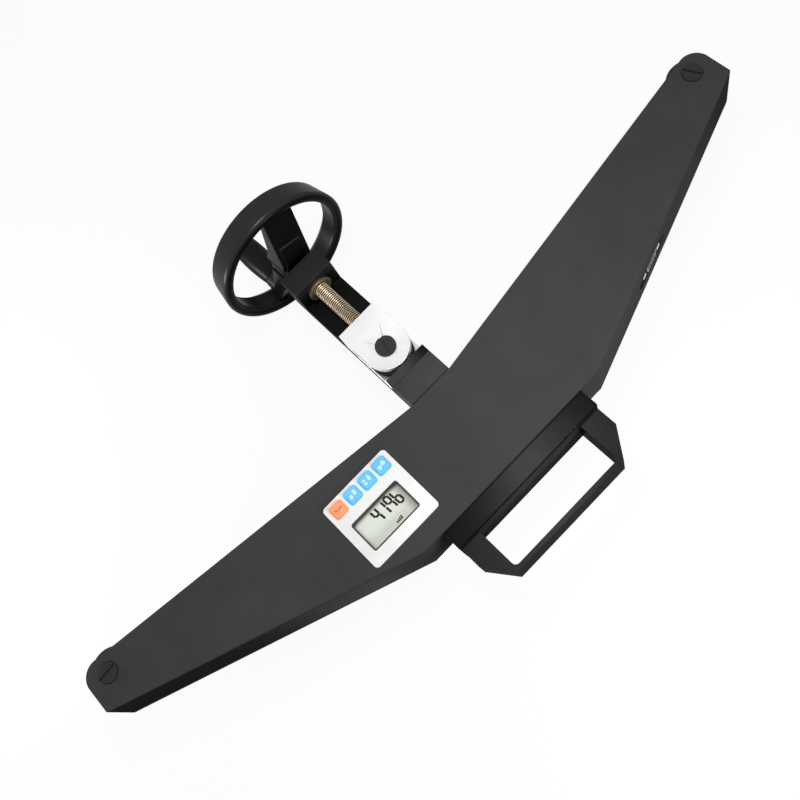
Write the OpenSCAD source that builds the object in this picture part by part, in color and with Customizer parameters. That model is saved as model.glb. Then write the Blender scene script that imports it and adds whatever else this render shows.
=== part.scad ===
// Cable tension meter with two end rollers, a screw clamp and a load cell
// The origin lies midway between the end roller axles, at the body's mid thickness.
// +X runs along the body, +Y along the clamp screw, +Z out of the display face.

/* [Rope and rollers] */
// Distance between the two end roller axles
span = 600; // [560:5:640]
// Outer diameter of the end rollers
end_roller_d = 38; // [34:1:40]
// Outer diameter of the centre roller
centre_roller_d = 35; // [30:1:36]
// Width of each roller
roller_w = 12; // [10:0.5:13]
// Width of the rope groove in each roller
groove_w = 10; // [7:0.5:11]
// Depth of the rope groove in the end rollers
end_groove_depth = 6; // [5:0.25:7]
// Depth of the rope groove in the centre roller
centre_groove_depth = 5; // [4:0.25:6]
// Height of the roller mid plane above the body's mid plane
roller_z = 4; // [3:0.5:5]
// Diameter of the roller axles and of the clevis pin
axle_d = 8; // [6:0.5:9]
// Outer diameter of the roller bushes
bush_d = 12; // [11:0.5:14]
// Side clearance of a roller in its slot
slot_gap = 0.8; // [0.5:0.1:1.2]
// Radial clearance around an end roller
pocket_gap = 1; // [0.6:0.1:2]
// Diameter of the slotted axle heads
axle_head_d = 15; // [13:0.5:17]
// Height of an axle head above the front cover
axle_head_proud = 1; // [0.5:0.1:2]
// Width of a screwdriver slot
slot_w = 2; // [1.2:0.1:2.6]
// Depth of a screwdriver slot
slot_depth = 1.2; // [0.8:0.1:1.4]
// Direction of the left axle's slot
left_slot_angle = 5; // [-90:1:90]
// Direction of the right axle's slot
right_slot_angle = -67; // [-90:1:90]

/* [Body] */
// Thickness of the body over both covers
body_t = 40; // [38:0.5:46]
// Thickness of each cover
cover_t = 3; // [2:0.25:4]
// Width of the flat under the clamp
seat_w = 38; // [38:0.5:42]
// Drop from the axle line to the flat under the clamp
seat_drop = 24.6; // [22:0.2:26]
// Height of the arm's upper edge above the axle line, at the axle
arm_rise = 13.4; // [11:0.2:15]
// Drop from the axle line to the base edge
base_drop = 104.1; // [102:0.5:112]
// Length of the straight base edge
base_w = 170.4; // [160:1:180]
// Length of the body past each end axle
end_over = 17.3; // [16:0.1:20]
// Drop from the axle line to the lower corner of the end edge
end_drop = 20.2; // [20:0.2:26]
// Radius of the upper corner at each end
tip_r = 13; // [8:0.5:14]
// Wall around the arm pockets
wall = 8; // [6:0.5:9]
// Floor between the rear pockets and the front cover
pocket_floor = 7; // [5:0.5:8]

/* [Clamp frame] */
// Width of the clamp frame
clamp_w = 37; // [34:0.5:37]
// Gap between the clamp frame's foot and the body
foot_gap = 0.5; // [0.4:0.1:1]
// Drop from the axle line to the top of the clamp frame's foot
foot_top_drop = 3.9; // [3:0.1:5]
// Thickness of the anvil pad
pad_t = 7.1; // [6:0.1:8]
// Height of the top block's lower face above the axle line
block_low = 104.8; // [104:0.2:112]
// Height of the top block
block_h = 19; // [17:0.5:22]
// Running gap between the clevis and the spine
slide_gap = 0.3; // [0.2:0.05:0.5]

/* [Clevis and screw] */
// Width of the clevis
clevis_w = 36.5; // [36:0.1:37]
// Thickness of each clevis cheek
cheek_t = 4; // [3.5:0.1:5]
// Side clearance between the centre roller and a cheek
cheek_gap = 1.7; // [1.4:0.1:2]
// Gap between the centre roller's rim and the anvil pad
roller_lift = 3.6; // [3:0.1:6]
// Height of the bridge that joins the cheeks
bridge_h = 13.5; // [12:0.5:15]
// Clearance between the centre roller and the bridge
bridge_gap = 2.2; // [1.8:0.1:3]
// Diameter of the slotted clevis pin head
pin_head_d = 16; // [13:0.5:18]
// Height of the clevis pin head
pin_head_h = 1.8; // [1.6:0.1:2.5]
// Direction of the clevis pin's slot
pin_slot_angle = 77; // [0:1:180]
// Diameter of the clamp screw
screw_d = 12; // [11:0.5:13]
// Diameter of the screw's journal in the clevis
journal_d = 8; // [7:0.5:9]
// Diameter of the screw nut's flange
nut_flange_d = 21; // [19:0.5:24]
// Thickness of the screw nut's flange
nut_flange_t = 2.2; // [1.8:0.1:3]
// Diameter of the screw nut's barrel
nut_barrel_d = 16; // [15.5:0.5:17]

/* [Handwheel] */
// Outer diameter of the handwheel
wheel_d = 121; // [110:1:130]
// Radial thickness of the rim
rim_t = 12; // [10:0.5:14]
// Width of the rim along the screw axis
rim_w = 15; // [13:0.5:18]
// Radius of the rim's rounded corners
rim_corner = 5; // [3:0.25:5.5]
// Gap between the top block and the hub
hub_gap = 5.2; // [4:0.2:8]
// Diameter of the hub
hub_d = 25; // [22:0.5:28]
// Length of the hub
hub_len = 19; // [17:0.5:21]
// Distance that the rim stands out from the hub's near face
dish = 17.4; // [14:0.2:20]
// Width of each spoke
spoke_w = 25.5; // [20:0.5:28]
// Thickness of each spoke
spoke_t = 9; // [7:0.5:11]
// Direction of the plain spoke around the screw axis
spoke_angle = 73; // [0:1:180]
// Width of the key rib on the plain spoke
rib_w = 15; // [12:0.5:18]
// Distance from the screw axis to the grip's axis
grip_offset = 47.5; // [46:0.5:49]
// Diameter of the revolving grip
grip_d = 18; // [16:0.5:21]
// Length of the revolving grip
grip_len = 57; // [50:1:65]
// Diameter of the grip's stud
stud_d = 8; // [6:0.5:9]

/* [Handle] */
// Length of the handle bracket
bracket_w = 135; // [128:1:142]
// Height of the handle bracket
bracket_h = 14.9; // [13:0.5:17]
// Setback of the bracket from each face of the body
bracket_setback = 3; // [2:0.5:4]
// Width of the handle over its two cheeks
handle_w = 133.4; // [128:0.2:133.6]
// Depth of the handle below the bracket
handle_h = 38.2; // [34:0.2:44]
// Thickness of the handle along the display direction
handle_t = 24; // [20:0.5:28]
// Length of the finger opening
finger_w = 99; // [90:1:102]
// Thickness of the grip bar
bar_t = 3.5; // [3:0.1:5]
// Height of the straight part of each cheek's outer side
cheek_side = 17.5; // [14:0.5:22]
// Width of the grip bar's outer face
bar_w = 102.8; // [100:0.2:108]

/* [Display] */
// Distance from the body's centre line to the panel's centre
panel_x = 85.2; // [84:0.2:87]
// Drop from the axle line to the panel's centre
panel_drop = 60.2; // [58:0.2:61]
// Width of the display panel
panel_w = 61; // [60:0.5:62]
// Height of the display panel
panel_h = 57.8; // [56:0.2:60]
// Corner radius of the display panel
panel_r = 3; // [1:0.25:4]
// Height of the panel above the front cover
panel_proud = 1; // [0.5:0.1:1.5]
// Width of the display window
window_w = 43.3; // [38:0.1:44]
// Height of the display window
window_h = 25; // [20:0.2:25.4]
// Drop from the panel's centre to the window's centre
window_drop = 6.7; // [6:0.1:8]
// Distance from the window's centre to the panel's centre
window_shift = 0.95; // [0:0.05:1]
// Size of each key
key_size = 9.8; // [8:0.1:10.4]
// Distance between two keys
key_pitch = 14.1; // [13.6:0.1:14.2]
// Height of the key row above the panel's centre
key_rise = 20.6; // [20:0.1:21]
// Height of a key above the panel
key_proud = 1.2; // [1:0.1:2]
// Travel of a key when it is pressed
key_travel = 0.8; // [0.4:0.05:0.8]

/* [Load cell and battery] */
// Length of the load cell beam
cell_len = 98; // [96:0.5:99]
// Height of the load cell beam
cell_h = 24; // [22:0.5:26]
// Thickness of the load cell beam
cell_t = 20; // [18:0.5:21]
// Diameter of the gauge holes in the beam
gauge_d = 15; // [12:0.5:16]
// Width of the centre column
column_w = 25; // [24:0.5:26]
// Diameter of a battery cell
battery_d = 14.5; // [13.5:0.1:14.5]
// Length of a battery cell
battery_len = 50.5; // [44:0.5:50.5]

/* [Port] */
// Distance along the arm's lower face from the base edge to the port
port_s = 96.4; // [90:0.2:105]
// Distance between the two jack screws
jack_pitch = 25; // [24.5:0.1:25.5]
// Length of the port's recess
recess_l = 45; // [42:0.5:48]
// Width of the port's recess
recess_w = 14; // [13:0.5:15]
// Depth of the port's recess
recess_depth = 6; // [5.5:0.1:6.5]
// Drop of the port below the body's mid plane
port_drop = 1.4; // [1:0.1:2]

/* [Hidden] */
$fn = 96;

// Clearances and small allowances
run_fit = 0.05;
press_fit = 0.02;
seat_fit = 0.1;
over = 1;

// Body levels along the display direction
front_z = body_t / 2;
cover_z = front_z - cover_t;
rear_pocket_z = cover_z - pocket_floor;

// Body outline, right half from the seat to the base
end_x = span / 2 + end_over;
arm_slope = (arm_rise + seat_drop) / (span / 2 - seat_w / 2);
tip_y = -seat_drop + arm_slope * (end_x - seat_w / 2);
seat_corner = [seat_w / 2, -seat_drop];
tip_corner = [end_x, tip_y];
end_corner = [end_x, -end_drop];
base_corner = [base_w / 2, -base_drop];
right_side = [base_corner, end_corner, tip_corner, seat_corner];
body_points = concat(right_side, [for (i = [3 : -1 : 0]) [-right_side[i].x, right_side[i].y]]);
arm_low_slope = (base_drop - end_drop) / (end_x - base_w / 2);

// Fastener sizes, each as shank diameter, head diameter and head height
cover_screw = [4, 8, 2.3];
clamp_bolt = [6, 10, 6];
cell_bolt = [8, 13, 8];
bracket_screw = [6, 10, 6];
handle_screw = [6, 11.5, 3.3];

// Electronics pocket behind the display panel
ledge = 2.4;
board_t = 1.6;
board_z = 9;
board_post_d = 6;
board_pocket_z = 5;
key_flange = 11;
key_gap = 0.3;
key_flange_t = 0.8;
key_stem = 6;
pane_t = 1.5;
pane_lip = 1.5;
pane_step_w = 50;
pane_step_h = 31;
panel_top = front_z + panel_proud;
board_inset = 2;
key_row = [for (i = [0 : 3]) (i - 1.5) * key_pitch];

// Load cell pocket
cell_top = seat_drop + 11.4;
cell_low = cell_top + cell_h;
cell_pocket_top = cell_top - 2;
cell_pocket_half = 50;
relief_half = 27;
relief_low = 90;
column_gap = 0.6;
clamp_bolt_x = 7;
cell_bolt_x = 38;
bracket_bolt = [18, 8];
handle_screw_at = [58, 6];

// Battery pocket, a mirror image of the display's place
battery_count = 4;
battery_wall = 1.2;
battery_pitch = battery_d + 0.3;
battery_pocket_z = 1.5;
battery_pocket_w = 62;
battery_pocket_h = 57;

// Arm pockets and the ribs between them
rib_1 = [panel_x + battery_pocket_w / 2, 128];
rib_2 = [208, 224];
pocket_end = 262;

// Cover screw places on the right half
rib_2_mid = (rib_2[0] + rib_2[1]) / 2;
pillar_d = 8;
pillar_l = 12;
pillars = [
    [76, -base_drop + 8.1],
    [56, -seat_drop - 0.9],
    [rib_1[0] + (rib_1[1] - rib_1[0]) / 2, -48],
    [rib_2_mid, -27.4],
    [span / 2 - 29, -14]
];
centre_pillar = [0, -base_drop + 7.1];

// End axle
axle_nut = [13, 4.5];
axle_head_t = cover_t + axle_head_proud;

// Clamp frame levels
foot_low = -seat_drop + foot_gap;
foot_top = -foot_top_drop;
pad_top = foot_top + pad_t;
block_top = block_low + block_h;
clevis_half = roller_w / 2 + cheek_gap + cheek_t;
spine_z = roller_z - clevis_half - slide_gap;

// Clevis levels
pin_y = pad_top + roller_lift + centre_roller_d / 2;
bridge_low = pin_y + centre_roller_d / 2 + bridge_gap;
bridge_top = bridge_low + bridge_h;
collar_d = 13;
collar_h = 3.4;
collar_pocket = 4;
washer_t = 1.5;
washer_d = 18;
float_gap = 0.3;
shoulder_y = bridge_top + washer_t + float_gap;

// Handwheel levels
hub_near = block_top + hub_gap;
hub_far = hub_near + hub_len;
rim_near = hub_near + dish;
rim_far = rim_near + rim_w;
rim_mid_r = (wheel_d - rim_t) / 2;
spoke_lift = 1;
wheel_washer_t = 1.6;
wheel_washer_d = 22;
wheel_nut_af = 18;
wheel_nut_h = 8;
screw_end = hub_far + wheel_washer_t + wheel_nut_h + 1.5;
grip_angle = spoke_angle + 180;
grip_x = grip_offset * cos(grip_angle);
grip_z = roller_z + grip_offset * sin(grip_angle);
boss_d = 20;
grip_gap = 0.4;
grip_near = rim_far + 1;
grip_far = grip_near + grip_len;
stud_head_d = 12;
stud_head_h = 4;

// Handle levels
bracket_low = -base_drop - bracket_h;
handle_low = bracket_low - handle_h;
finger_top = bracket_low - 1.1;
finger_corner = 3.5;
lip_w = 1.6;
lip_t = 1;

// Port place and direction
arm_dir = unit(end_corner - base_corner);
port_at = base_corner + arm_dir * port_s;
port_turn = atan2(arm_dir.y, arm_dir.x);
flange_t = 0.8;
shell_depth = 5;
shell_w = 16.9;
shell_h = 8.3;
shell_wall = 0.5;
flange_l = 30.8;
flange_w = 12.5;

// A vector of length one
function unit(v) = v / norm(v);

// The inward normal of a side of a ring of points that runs counterclockwise
function inward(a, b) = unit([a.y - b.y, b.x - a.x]);

// A ring of points moved inward by one distance
function inset(points, d) = [
    for (i = [0 : len(points) - 1])
        let (
            n1 = inward(points[(i + len(points) - 1) % len(points)], points[i]),
            n2 = inward(points[i], points[(i + 1) % len(points)])
        )
        points[i] + d * (n1 + n2) / (1 + n1 * n2)
];

// A box between two corners, given as three ranges
module block(x, y, z) {
    translate([x[0], y[0], z[0]])
        cube([x[1] - x[0], y[1] - y[0], z[1] - z[0]]);
}

// A rod along Z between two levels
module rod_z(at, d, z) {
    translate([at.x, at.y, z[0]])
        cylinder(d = d, h = z[1] - z[0]);
}

// A rod along Y between two levels
module rod_y(at, d, y) {
    translate([at.x, y[0], at.y])
        rotate([-90, 0, 0])
            cylinder(d = d, h = y[1] - y[0]);
}

// The children and their mirror image on the left half
module both_halves() {
    children();
    mirror([1, 0, 0])
        children();
}

// A flat plate with rounded corners, centred on a point
module rounded_plate(at, size, r, z) {
    for (side = [-1, 1], end = [-1, 1])
        rod_z(at + [side * (size.x / 2 - r), end * (size.y / 2 - r)], 2 * r, z);
    block([at.x - size.x / 2 + r, at.x + size.x / 2 - r], [at.y - size.y / 2, at.y + size.y / 2], z);
    block([at.x - size.x / 2, at.x + size.x / 2], [at.y - size.y / 2 + r, at.y + size.y / 2 - r], z);
}

// The waste outside a rounded corner, between the directions of travel into and out of it
module corner_waste(corner, r, dir_in, dir_out) {
    turn = acos(dir_in * dir_out);
    reach = r * tan(turn / 2);
    start = corner - dir_in * reach;
    stop = corner + dir_out * reach;
    out_in = [dir_in.y, -dir_in.x];
    out_out = [dir_out.y, -dir_out.x];
    centre = start - out_in * r;
    difference() {
        polygon([centre, start + out_in * over, corner + (out_in + out_out) * 2 * over, stop + out_out * over]);
        translate(centre)
            circle(r = r);
    }
}

// The body's outline with rounded tips, moved inward by one distance
module body_outline(d = 0) {
    difference() {
        polygon(inset(body_points, d));
        both_halves()
            corner_waste(
                inset(body_points, d)[2], tip_r - d,
                unit(tip_corner - end_corner), unit(seat_corner - tip_corner)
            );
    }
}

// A slice of the body between two levels
module body_slice(z, d = 0) {
    translate([0, 0, z[0]])
        linear_extrude(z[1] - z[0])
            body_outline(d);
}

// The pocket in one arm between two ribs, open to the rear
module arm_pocket(x) {
    intersection() {
        body_slice([-cover_z - over, rear_pocket_z], wall);
        block(x, [-base_drop, end_x], [-body_t, body_t]);
    }
}

// The round clearance around one end roller
module roller_pocket() {
    low = roller_z - roller_w / 2 - slot_gap;
    high = roller_z + roller_w / 2 + slot_gap;
    rod_z([span / 2, 0], end_roller_d + 2 * pocket_gap, [low, high]);
}

// Countersunk hole along Z, with its wide end at the first level
module sunk_hole_z(at, screw, z) {
    step = sign(z[1] - z[0]);
    low = min(z[0] - step * over, z[1]);
    high = max(z[0] - step * over, z[1]);
    rod_z(at, screw[0] + 2 * seat_fit, [low, high]);
    translate([at.x, at.y, z[0]])
        rotate([step > 0 ? 0 : 180, 0, 0])
            cylinder(d1 = screw[1], d2 = screw[0], h = screw[2]);
}

// Countersunk screw along Z, with its head at the first level and a hex socket
module sunk_screw_z(at, screw, z) {
    step = sign(z[1] - z[0]);
    difference() {
        union() {
            rod_z(at, screw[0], [min(z), max(z)]);
            translate([at.x, at.y, z[0]])
                rotate([step > 0 ? 0 : 180, 0, 0])
                    cylinder(d1 = screw[1], d2 = screw[0], h = screw[2]);
        }
        translate([at.x, at.y, z[0] - (step > 0 ? over : 0.7 * screw[2])])
            cylinder(d = 0.55 * screw[0], h = over + 0.7 * screw[2], $fn = 6);
    }
}

// Socket head screw along Y, with its head's outer face at the first level
module cap_screw_y(at, screw, y) {
    step = sign(y[1] - y[0]);
    head_end = y[0] + step * screw[2];
    difference() {
        union() {
            rod_y(at, screw[0], [min(y), max(y)]);
            rod_y(at, screw[1], [min(y[0], head_end), max(y[0], head_end)]);
        }
        translate([at.x, y[0] - (step > 0 ? over : 0.6 * screw[2]), at.y])
            rotate([-90, 0, 0])
                cylinder(d = 0.8 * screw[0], h = over + 0.6 * screw[2], $fn = 6);
    }
}

// The hole for a socket head screw along Y
module cap_hole_y(at, screw, y) {
    step = sign(y[1] - y[0]);
    head_end = y[0] + step * screw[2];
    rod_y(at, screw[0] + 2 * seat_fit, [min(y), max(y)]);
    rod_y(at, screw[1] + 4 * seat_fit, [min(y[0] - step * over, head_end), max(y[0] - step * over, head_end)]);
}

// All cover screw places
module at_cover_screws() {
    translate(centre_pillar)
        children();
    for (p = pillars, side = [-1, 1])
        translate([side * p.x, p.y])
            children();
}

// The milled body that carries everything
module main_frame() {
    color([0.16, 0.16, 0.18])
        difference() {
            body_slice([-cover_z, cover_z]);
            both_halves() {
                roller_pocket();
                rod_z([span / 2, 0], axle_d + 2 * press_fit, [-cover_z - over, cover_z + over]);
                rod_z([span / 2, 0], axle_nut[0] + 2, [-cover_z - over, -cover_z + axle_nut[1]]);
                arm_pocket([rib_1[1], rib_2[0]]);
                arm_pocket([rib_2[1], pocket_end]);
            }
            at_cover_screws() {
                rod_z([0, 0], pillar_d + 2 * seat_fit, [cover_z - pillar_l, cover_z + over]);
                rod_z([0, 0], cover_screw[0] + 2 * seat_fit, [-cover_z - over, cover_z]);
            }
            electronics_pocket();
            load_cell_pocket();
            battery_pocket();
            port_cut();
            for (x = [-1, 1], z = [-1, 1])
                cap_hole_y([x * bracket_bolt.x, z * bracket_bolt.y], bracket_screw, [-relief_low, -base_drop - over]);
            for (x = [-1, 1])
                cap_hole_y([x * cell_bolt_x, roller_z], cell_bolt, [-base_drop, -cell_low + over]);
        }
    color([0.16, 0.16, 0.18])
        for (x = [-1, 1], y = [-1, 1])
            rod_z(board_post(x, y), board_post_d, [board_pocket_z, board_z]);
}

// The centre of one of the four posts under the board
function board_post(x, y) = [
    -panel_x + x * (panel_w / 2 - ledge - board_inset - board_post_d / 2),
    -panel_drop + y * (panel_h / 2 - ledge - board_inset - board_post_d / 2)
];

// The pocket that holds the board and the display
module electronics_pocket() {
    block(
        [-panel_x - panel_w / 2 + ledge, -panel_x + panel_w / 2 - ledge],
        [-panel_drop - panel_h / 2 + ledge, -panel_drop + panel_h / 2 - ledge],
        [board_pocket_z, cover_z + over]
    );
}

// The pocket that holds the load cell, its relief below and the window for its column
module load_cell_pocket() {
    high = roller_z + cell_t / 2 + over / 2;
    block([-cell_pocket_half, cell_pocket_half], [-cell_low, -cell_pocket_top], [-cover_z - over, high]);
    block([-relief_half, relief_half], [-relief_low, -cell_low + over], [-cover_z - over, high]);
    block(
        [-column_w / 2 - column_gap, column_w / 2 + column_gap],
        [-cell_pocket_top - over, -seat_drop + over],
        [roller_z - cell_t / 2 - column_gap, high]
    );
}

// The pocket that holds the battery pack, open to the rear
module battery_pocket() {
    block(
        [panel_x - battery_pocket_w / 2, panel_x + battery_pocket_w / 2],
        [-panel_drop - battery_pocket_h / 2, -panel_drop + battery_pocket_h / 2],
        [-cover_z - over, battery_pocket_z]
    );
}

// Places a shape drawn on the arm's lower face, its Y pointing along the display direction
module on_arm_face() {
    translate([port_at.x, port_at.y, -port_drop])
        rotate([0, 0, port_turn])
            rotate([90, 0, 0])
                children();
}

// A slot with round ends, centred on the port
module port_slot(l, w, z) {
    for (side = [-1, 1])
        rod_z([side * (l - w) / 2, 0], w, z);
    block([-(l - w) / 2, (l - w) / 2], [-w / 2, w / 2], z);
}

// The recess, the connector's opening and the two threaded holes in the arm
module port_cut() {
    on_arm_face() {
        port_slot(recess_l, recess_w, [-recess_depth, over]);
        block([-shell_w / 2 - over, shell_w / 2 + over], [-shell_h / 2 - 0.6, shell_h / 2 + 0.6], [-wall - over, 0]);
        for (side = [-1, 1])
            rod_z([side * jack_pitch / 2, 0], 2.8, [-wall - over, 0]);
    }
}

// The front cover with its pillars
module front_cover() {
    color([0.42, 0.43, 0.45])
        difference() {
            union() {
                body_slice([cover_z, front_z]);
                at_cover_screws()
                    rod_z([0, 0], pillar_d, [cover_z - pillar_l + seat_fit, cover_z + over]);
            }
            at_cover_screws()
                rod_z([0, 0], cover_screw[0] + 2 * press_fit, [cover_z - pillar_l, cover_z - 2]);
            both_halves()
                rod_z([span / 2, 0], axle_head_d + 0.8, [cover_z - over, front_z + over]);
            rounded_plate(
                [-panel_x, -panel_drop], [panel_w + 2 * seat_fit, panel_h + 2 * seat_fit],
                panel_r + seat_fit, [cover_z - over, front_z + over]
            );
        }
}

// The rear cover
module rear_cover() {
    color([0.25, 0.25, 0.27])
        difference() {
            body_slice([-front_z, -cover_z]);
            at_cover_screws()
                sunk_hole_z([0, 0], cover_screw, [-front_z, -cover_z + over]);
        }
}

// The screws that hold both covers
module cover_screws() {
    color([0.3, 0.3, 0.32])
        at_cover_screws()
            sunk_screw_z([0, 0], cover_screw, [-front_z, cover_z - 3]);
}

// One slotted roller axle, with its head on the front
module axle(slot_angle) {
    head_top = front_z + axle_head_proud;
    color([0.08, 0.08, 0.09])
        difference() {
            union() {
                rod_z([0, 0], axle_d, [-cover_z, cover_z + over]);
                rod_z([0, 0], axle_head_d, [cover_z, head_top]);
            }
            rotate([0, 0, slot_angle])
                block([-axle_head_d, axle_head_d], [-slot_w / 2, slot_w / 2], [head_top - slot_depth, head_top + over]);
        }
}

module left_axle() {
    translate([-span / 2, 0, 0])
        axle(left_slot_angle);
}

module right_axle() {
    translate([span / 2, 0, 0])
        axle(right_slot_angle);
}

// The thin nuts that hold the axles, sunk in the frame's rear
module axle_nuts() {
    color([0.6, 0.6, 0.62])
        both_halves()
            translate([span / 2, 0, -cover_z])
                difference() {
                    cylinder(d = axle_nut[0] / cos(30), h = axle_nut[1], $fn = 6);
                    translate([0, 0, -over])
                        cylinder(d = axle_d + 2 * press_fit, h = axle_nut[1] + 2 * over);
                }
}

// Half of a grooved roller's section, from its bush to its rim
module roller_section(d, groove_depth) {
    groove_mid = d / 2 - groove_depth + groove_w / 2;
    difference() {
        translate([bush_d / 2, -roller_w / 2])
            square([(d - bush_d) / 2, roller_w]);
        translate([groove_mid, 0])
            circle(d = groove_w);
        translate([groove_mid, -groove_w / 2])
            square([d, groove_w]);
    }
}

// One grooved roller
module roller(d, groove_depth) {
    color([0.1, 0.1, 0.11])
        rotate_extrude()
            roller_section(d, groove_depth);
}

// One roller bush
module bush() {
    color([0.72, 0.55, 0.3])
        difference() {
            cylinder(d = bush_d, h = roller_w, center = true);
            cylinder(d = axle_d + 2 * run_fit, h = roller_w + 2 * over, center = true);
        }
}

module left_roller() {
    translate([-span / 2, 0, roller_z])
        roller(end_roller_d, end_groove_depth);
}

module left_bush() {
    translate([-span / 2, 0, roller_z])
        bush();
}

module right_roller() {
    translate([span / 2, 0, roller_z])
        roller(end_roller_d, end_groove_depth);
}

module right_bush() {
    translate([span / 2, 0, roller_z])
        bush();
}

// The C shaped frame that carries the clamp screw and presses on the load cell
module clamp_frame() {
    half = clamp_w / 2;
    color([0.17, 0.17, 0.18])
        difference() {
            union() {
                block([-half, half], [foot_low, foot_top], [-front_z, front_z]);
                block([-half, half], [foot_low, block_top], [-front_z, spine_z]);
                block([-half, half], [block_low, block_top], [-front_z, front_z]);
            }
            rod_y([0, roller_z], nut_barrel_d + 2 * press_fit, [block_low - over, block_top + over]);
            for (x = [-1, 1])
                cap_hole_y([x * clamp_bolt_x, roller_z], clamp_bolt, [foot_top, foot_low - over]);
        }
}

// The hard pad under the rope
module anvil_pad() {
    half = clamp_w / 2;
    color([0.12, 0.12, 0.13])
        block([-half, half], [foot_top, pad_top], [spine_z, front_z]);
}

// The bolts that hold the clamp frame to the load cell's column
module clamp_bolts() {
    color([0.3, 0.3, 0.32])
        for (x = [-1, 1])
            cap_screw_y([x * clamp_bolt_x, roller_z], clamp_bolt, [foot_top, -cell_top - 4]);
}

// The flanged nut of the clamp screw
module screw_nut() {
    color([0.78, 0.66, 0.4])
        difference() {
            union() {
                rod_y([0, roller_z], nut_flange_d, [block_low - nut_flange_t, block_low]);
                rod_y([0, roller_z], nut_barrel_d, [block_low - nut_flange_t, block_top]);
            }
            rod_y([0, roller_z], screw_d + 2 * run_fit, [block_low - nut_flange_t - over, block_top + over]);
        }
}

// The bar between the body and the handle, with thin end lips
module handle_bracket() {
    half = bracket_w / 2;
    z = [-front_z + bracket_setback, front_z - bracket_setback];
    color([0.4, 0.4, 0.42])
        difference() {
            union() {
                block([-half, half], [bracket_low, -base_drop], z);
                both_halves()
                    block([half - lip_w, half], [bracket_low, -base_drop], [z[1], z[1] + lip_t]);
            }
            for (x = [-1, 1], side = [-1, 1])
                rod_y(
                    [x * bracket_bolt.x, side * bracket_bolt.y], bracket_screw[0] + 2 * seat_fit,
                    [bracket_low + 4, -base_drop + over]
                );
            for (x = [-1, 1], side = [-1, 1])
                sunk_hole_y([x * handle_screw_at.x, side * handle_screw_at.y], handle_screw, -base_drop, bracket_low);
        }
}

// The hole of a countersunk screw that points down from a level
module sunk_hole_y(at, screw, top, low) {
    rod_y(at, screw[0] + 2 * seat_fit, [low - over, top + over]);
    translate([at.x, top, at.y])
        rotate([90, 0, 0])
            cylinder(d1 = screw[1], d2 = screw[0], h = screw[2]);
}

// The screws that hold the bracket, driven from the relief under the load cell
module bracket_screws() {
    color([0.3, 0.3, 0.32])
        for (x = [-1, 1], side = [-1, 1])
            cap_screw_y(
                [x * bracket_bolt.x, side * bracket_bolt.y], bracket_screw,
                [-relief_low, bracket_low + 5]
            );
}

// The carrying handle
module handle() {
    top = handle_w / 2;
    low = bar_w / 2;
    side_low = bracket_low - cheek_side;
    color([0.15, 0.15, 0.16])
        difference() {
            translate([0, 0, -handle_t / 2])
                linear_extrude(handle_t)
                    polygon([
                        [top, bracket_low], [-top, bracket_low], [-top, side_low],
                        [-low, handle_low], [low, handle_low], [top, side_low]
                    ]);
            finger_opening();
            for (x = [-1, 1], side = [-1, 1])
                rod_y(
                    [x * handle_screw_at.x, side * handle_screw_at.y], handle_screw[0] + 2 * seat_fit,
                    [bracket_low - 13, bracket_low + over]
                );
        }
}

// The finger opening, with round corners at the grip bar
module finger_opening() {
    z = [-handle_t / 2 - over, handle_t / 2 + over];
    low = handle_low + bar_t;
    half = finger_w / 2;
    block([-half, half], [low + finger_corner, bracket_low + over], z);
    block([-half + finger_corner, half - finger_corner], [low, bracket_low], z);
    both_halves()
        rod_z([half - finger_corner, low + finger_corner], 2 * finger_corner, z);
}

// The countersunk screws that hold the handle to its bracket
module handle_screws() {
    color([0.3, 0.3, 0.32])
        for (x = [-1, 1], side = [-1, 1])
            translate([x * handle_screw_at.x, -base_drop, side * handle_screw_at.y])
                rotate([90, 0, 0])
                    sunk_screw_z([0, 0], handle_screw, [0, bracket_h + 12]);
}

// The display panel with openings for the window and the keys
module display_panel() {
    at = [-panel_x, -panel_drop];
    window_at = at + [-window_shift, -window_drop];
    color([0.94, 0.94, 0.93])
        difference() {
            rounded_plate(at, [panel_w, panel_h], panel_r, [cover_z, panel_top]);
            rounded_plate(window_at, [window_w, window_h], 1, [cover_z - over, panel_top + over]);
            rounded_plate(
                window_at, [pane_step_w, pane_step_h], 1,
                [cover_z - over, panel_top - pane_lip]
            );
            for (x = key_row)
                rounded_plate(
                    key_at(x), [key_size + 2 * seat_fit, key_size + 2 * seat_fit],
                    1.6, [cover_z - over, panel_top + over]
                );
        }
}

// The centre of a key
function key_at(x) = [-panel_x + x, -panel_drop + key_rise];

// The clear pane, seated in the panel's step from behind
module display_window() {
    at = [-panel_x - window_shift, -panel_drop - window_drop];
    top = panel_top - pane_lip;
    color([0.75, 0.8, 0.75, 0.5])
        block(
            [at.x - pane_step_w / 2 + seat_fit, at.x + pane_step_w / 2 - seat_fit],
            [at.y - pane_step_h / 2 + seat_fit, at.y + pane_step_h / 2 - seat_fit],
            [top - pane_t, top]
        );
}

// The display module between the pane and the board
module lcd_module() {
    at = [-panel_x - window_shift, -panel_drop - window_drop];
    color([0.7, 0.74, 0.66])
        block(
            [at.x - pane_step_w / 2 + seat_fit, at.x + pane_step_w / 2 - seat_fit],
            [at.y - pane_step_h / 2 + 2 * seat_fit, at.y + pane_step_h / 2 - 2 * seat_fit],
            [board_z + board_t, panel_top - pane_lip - pane_t]
        );
}

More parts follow.
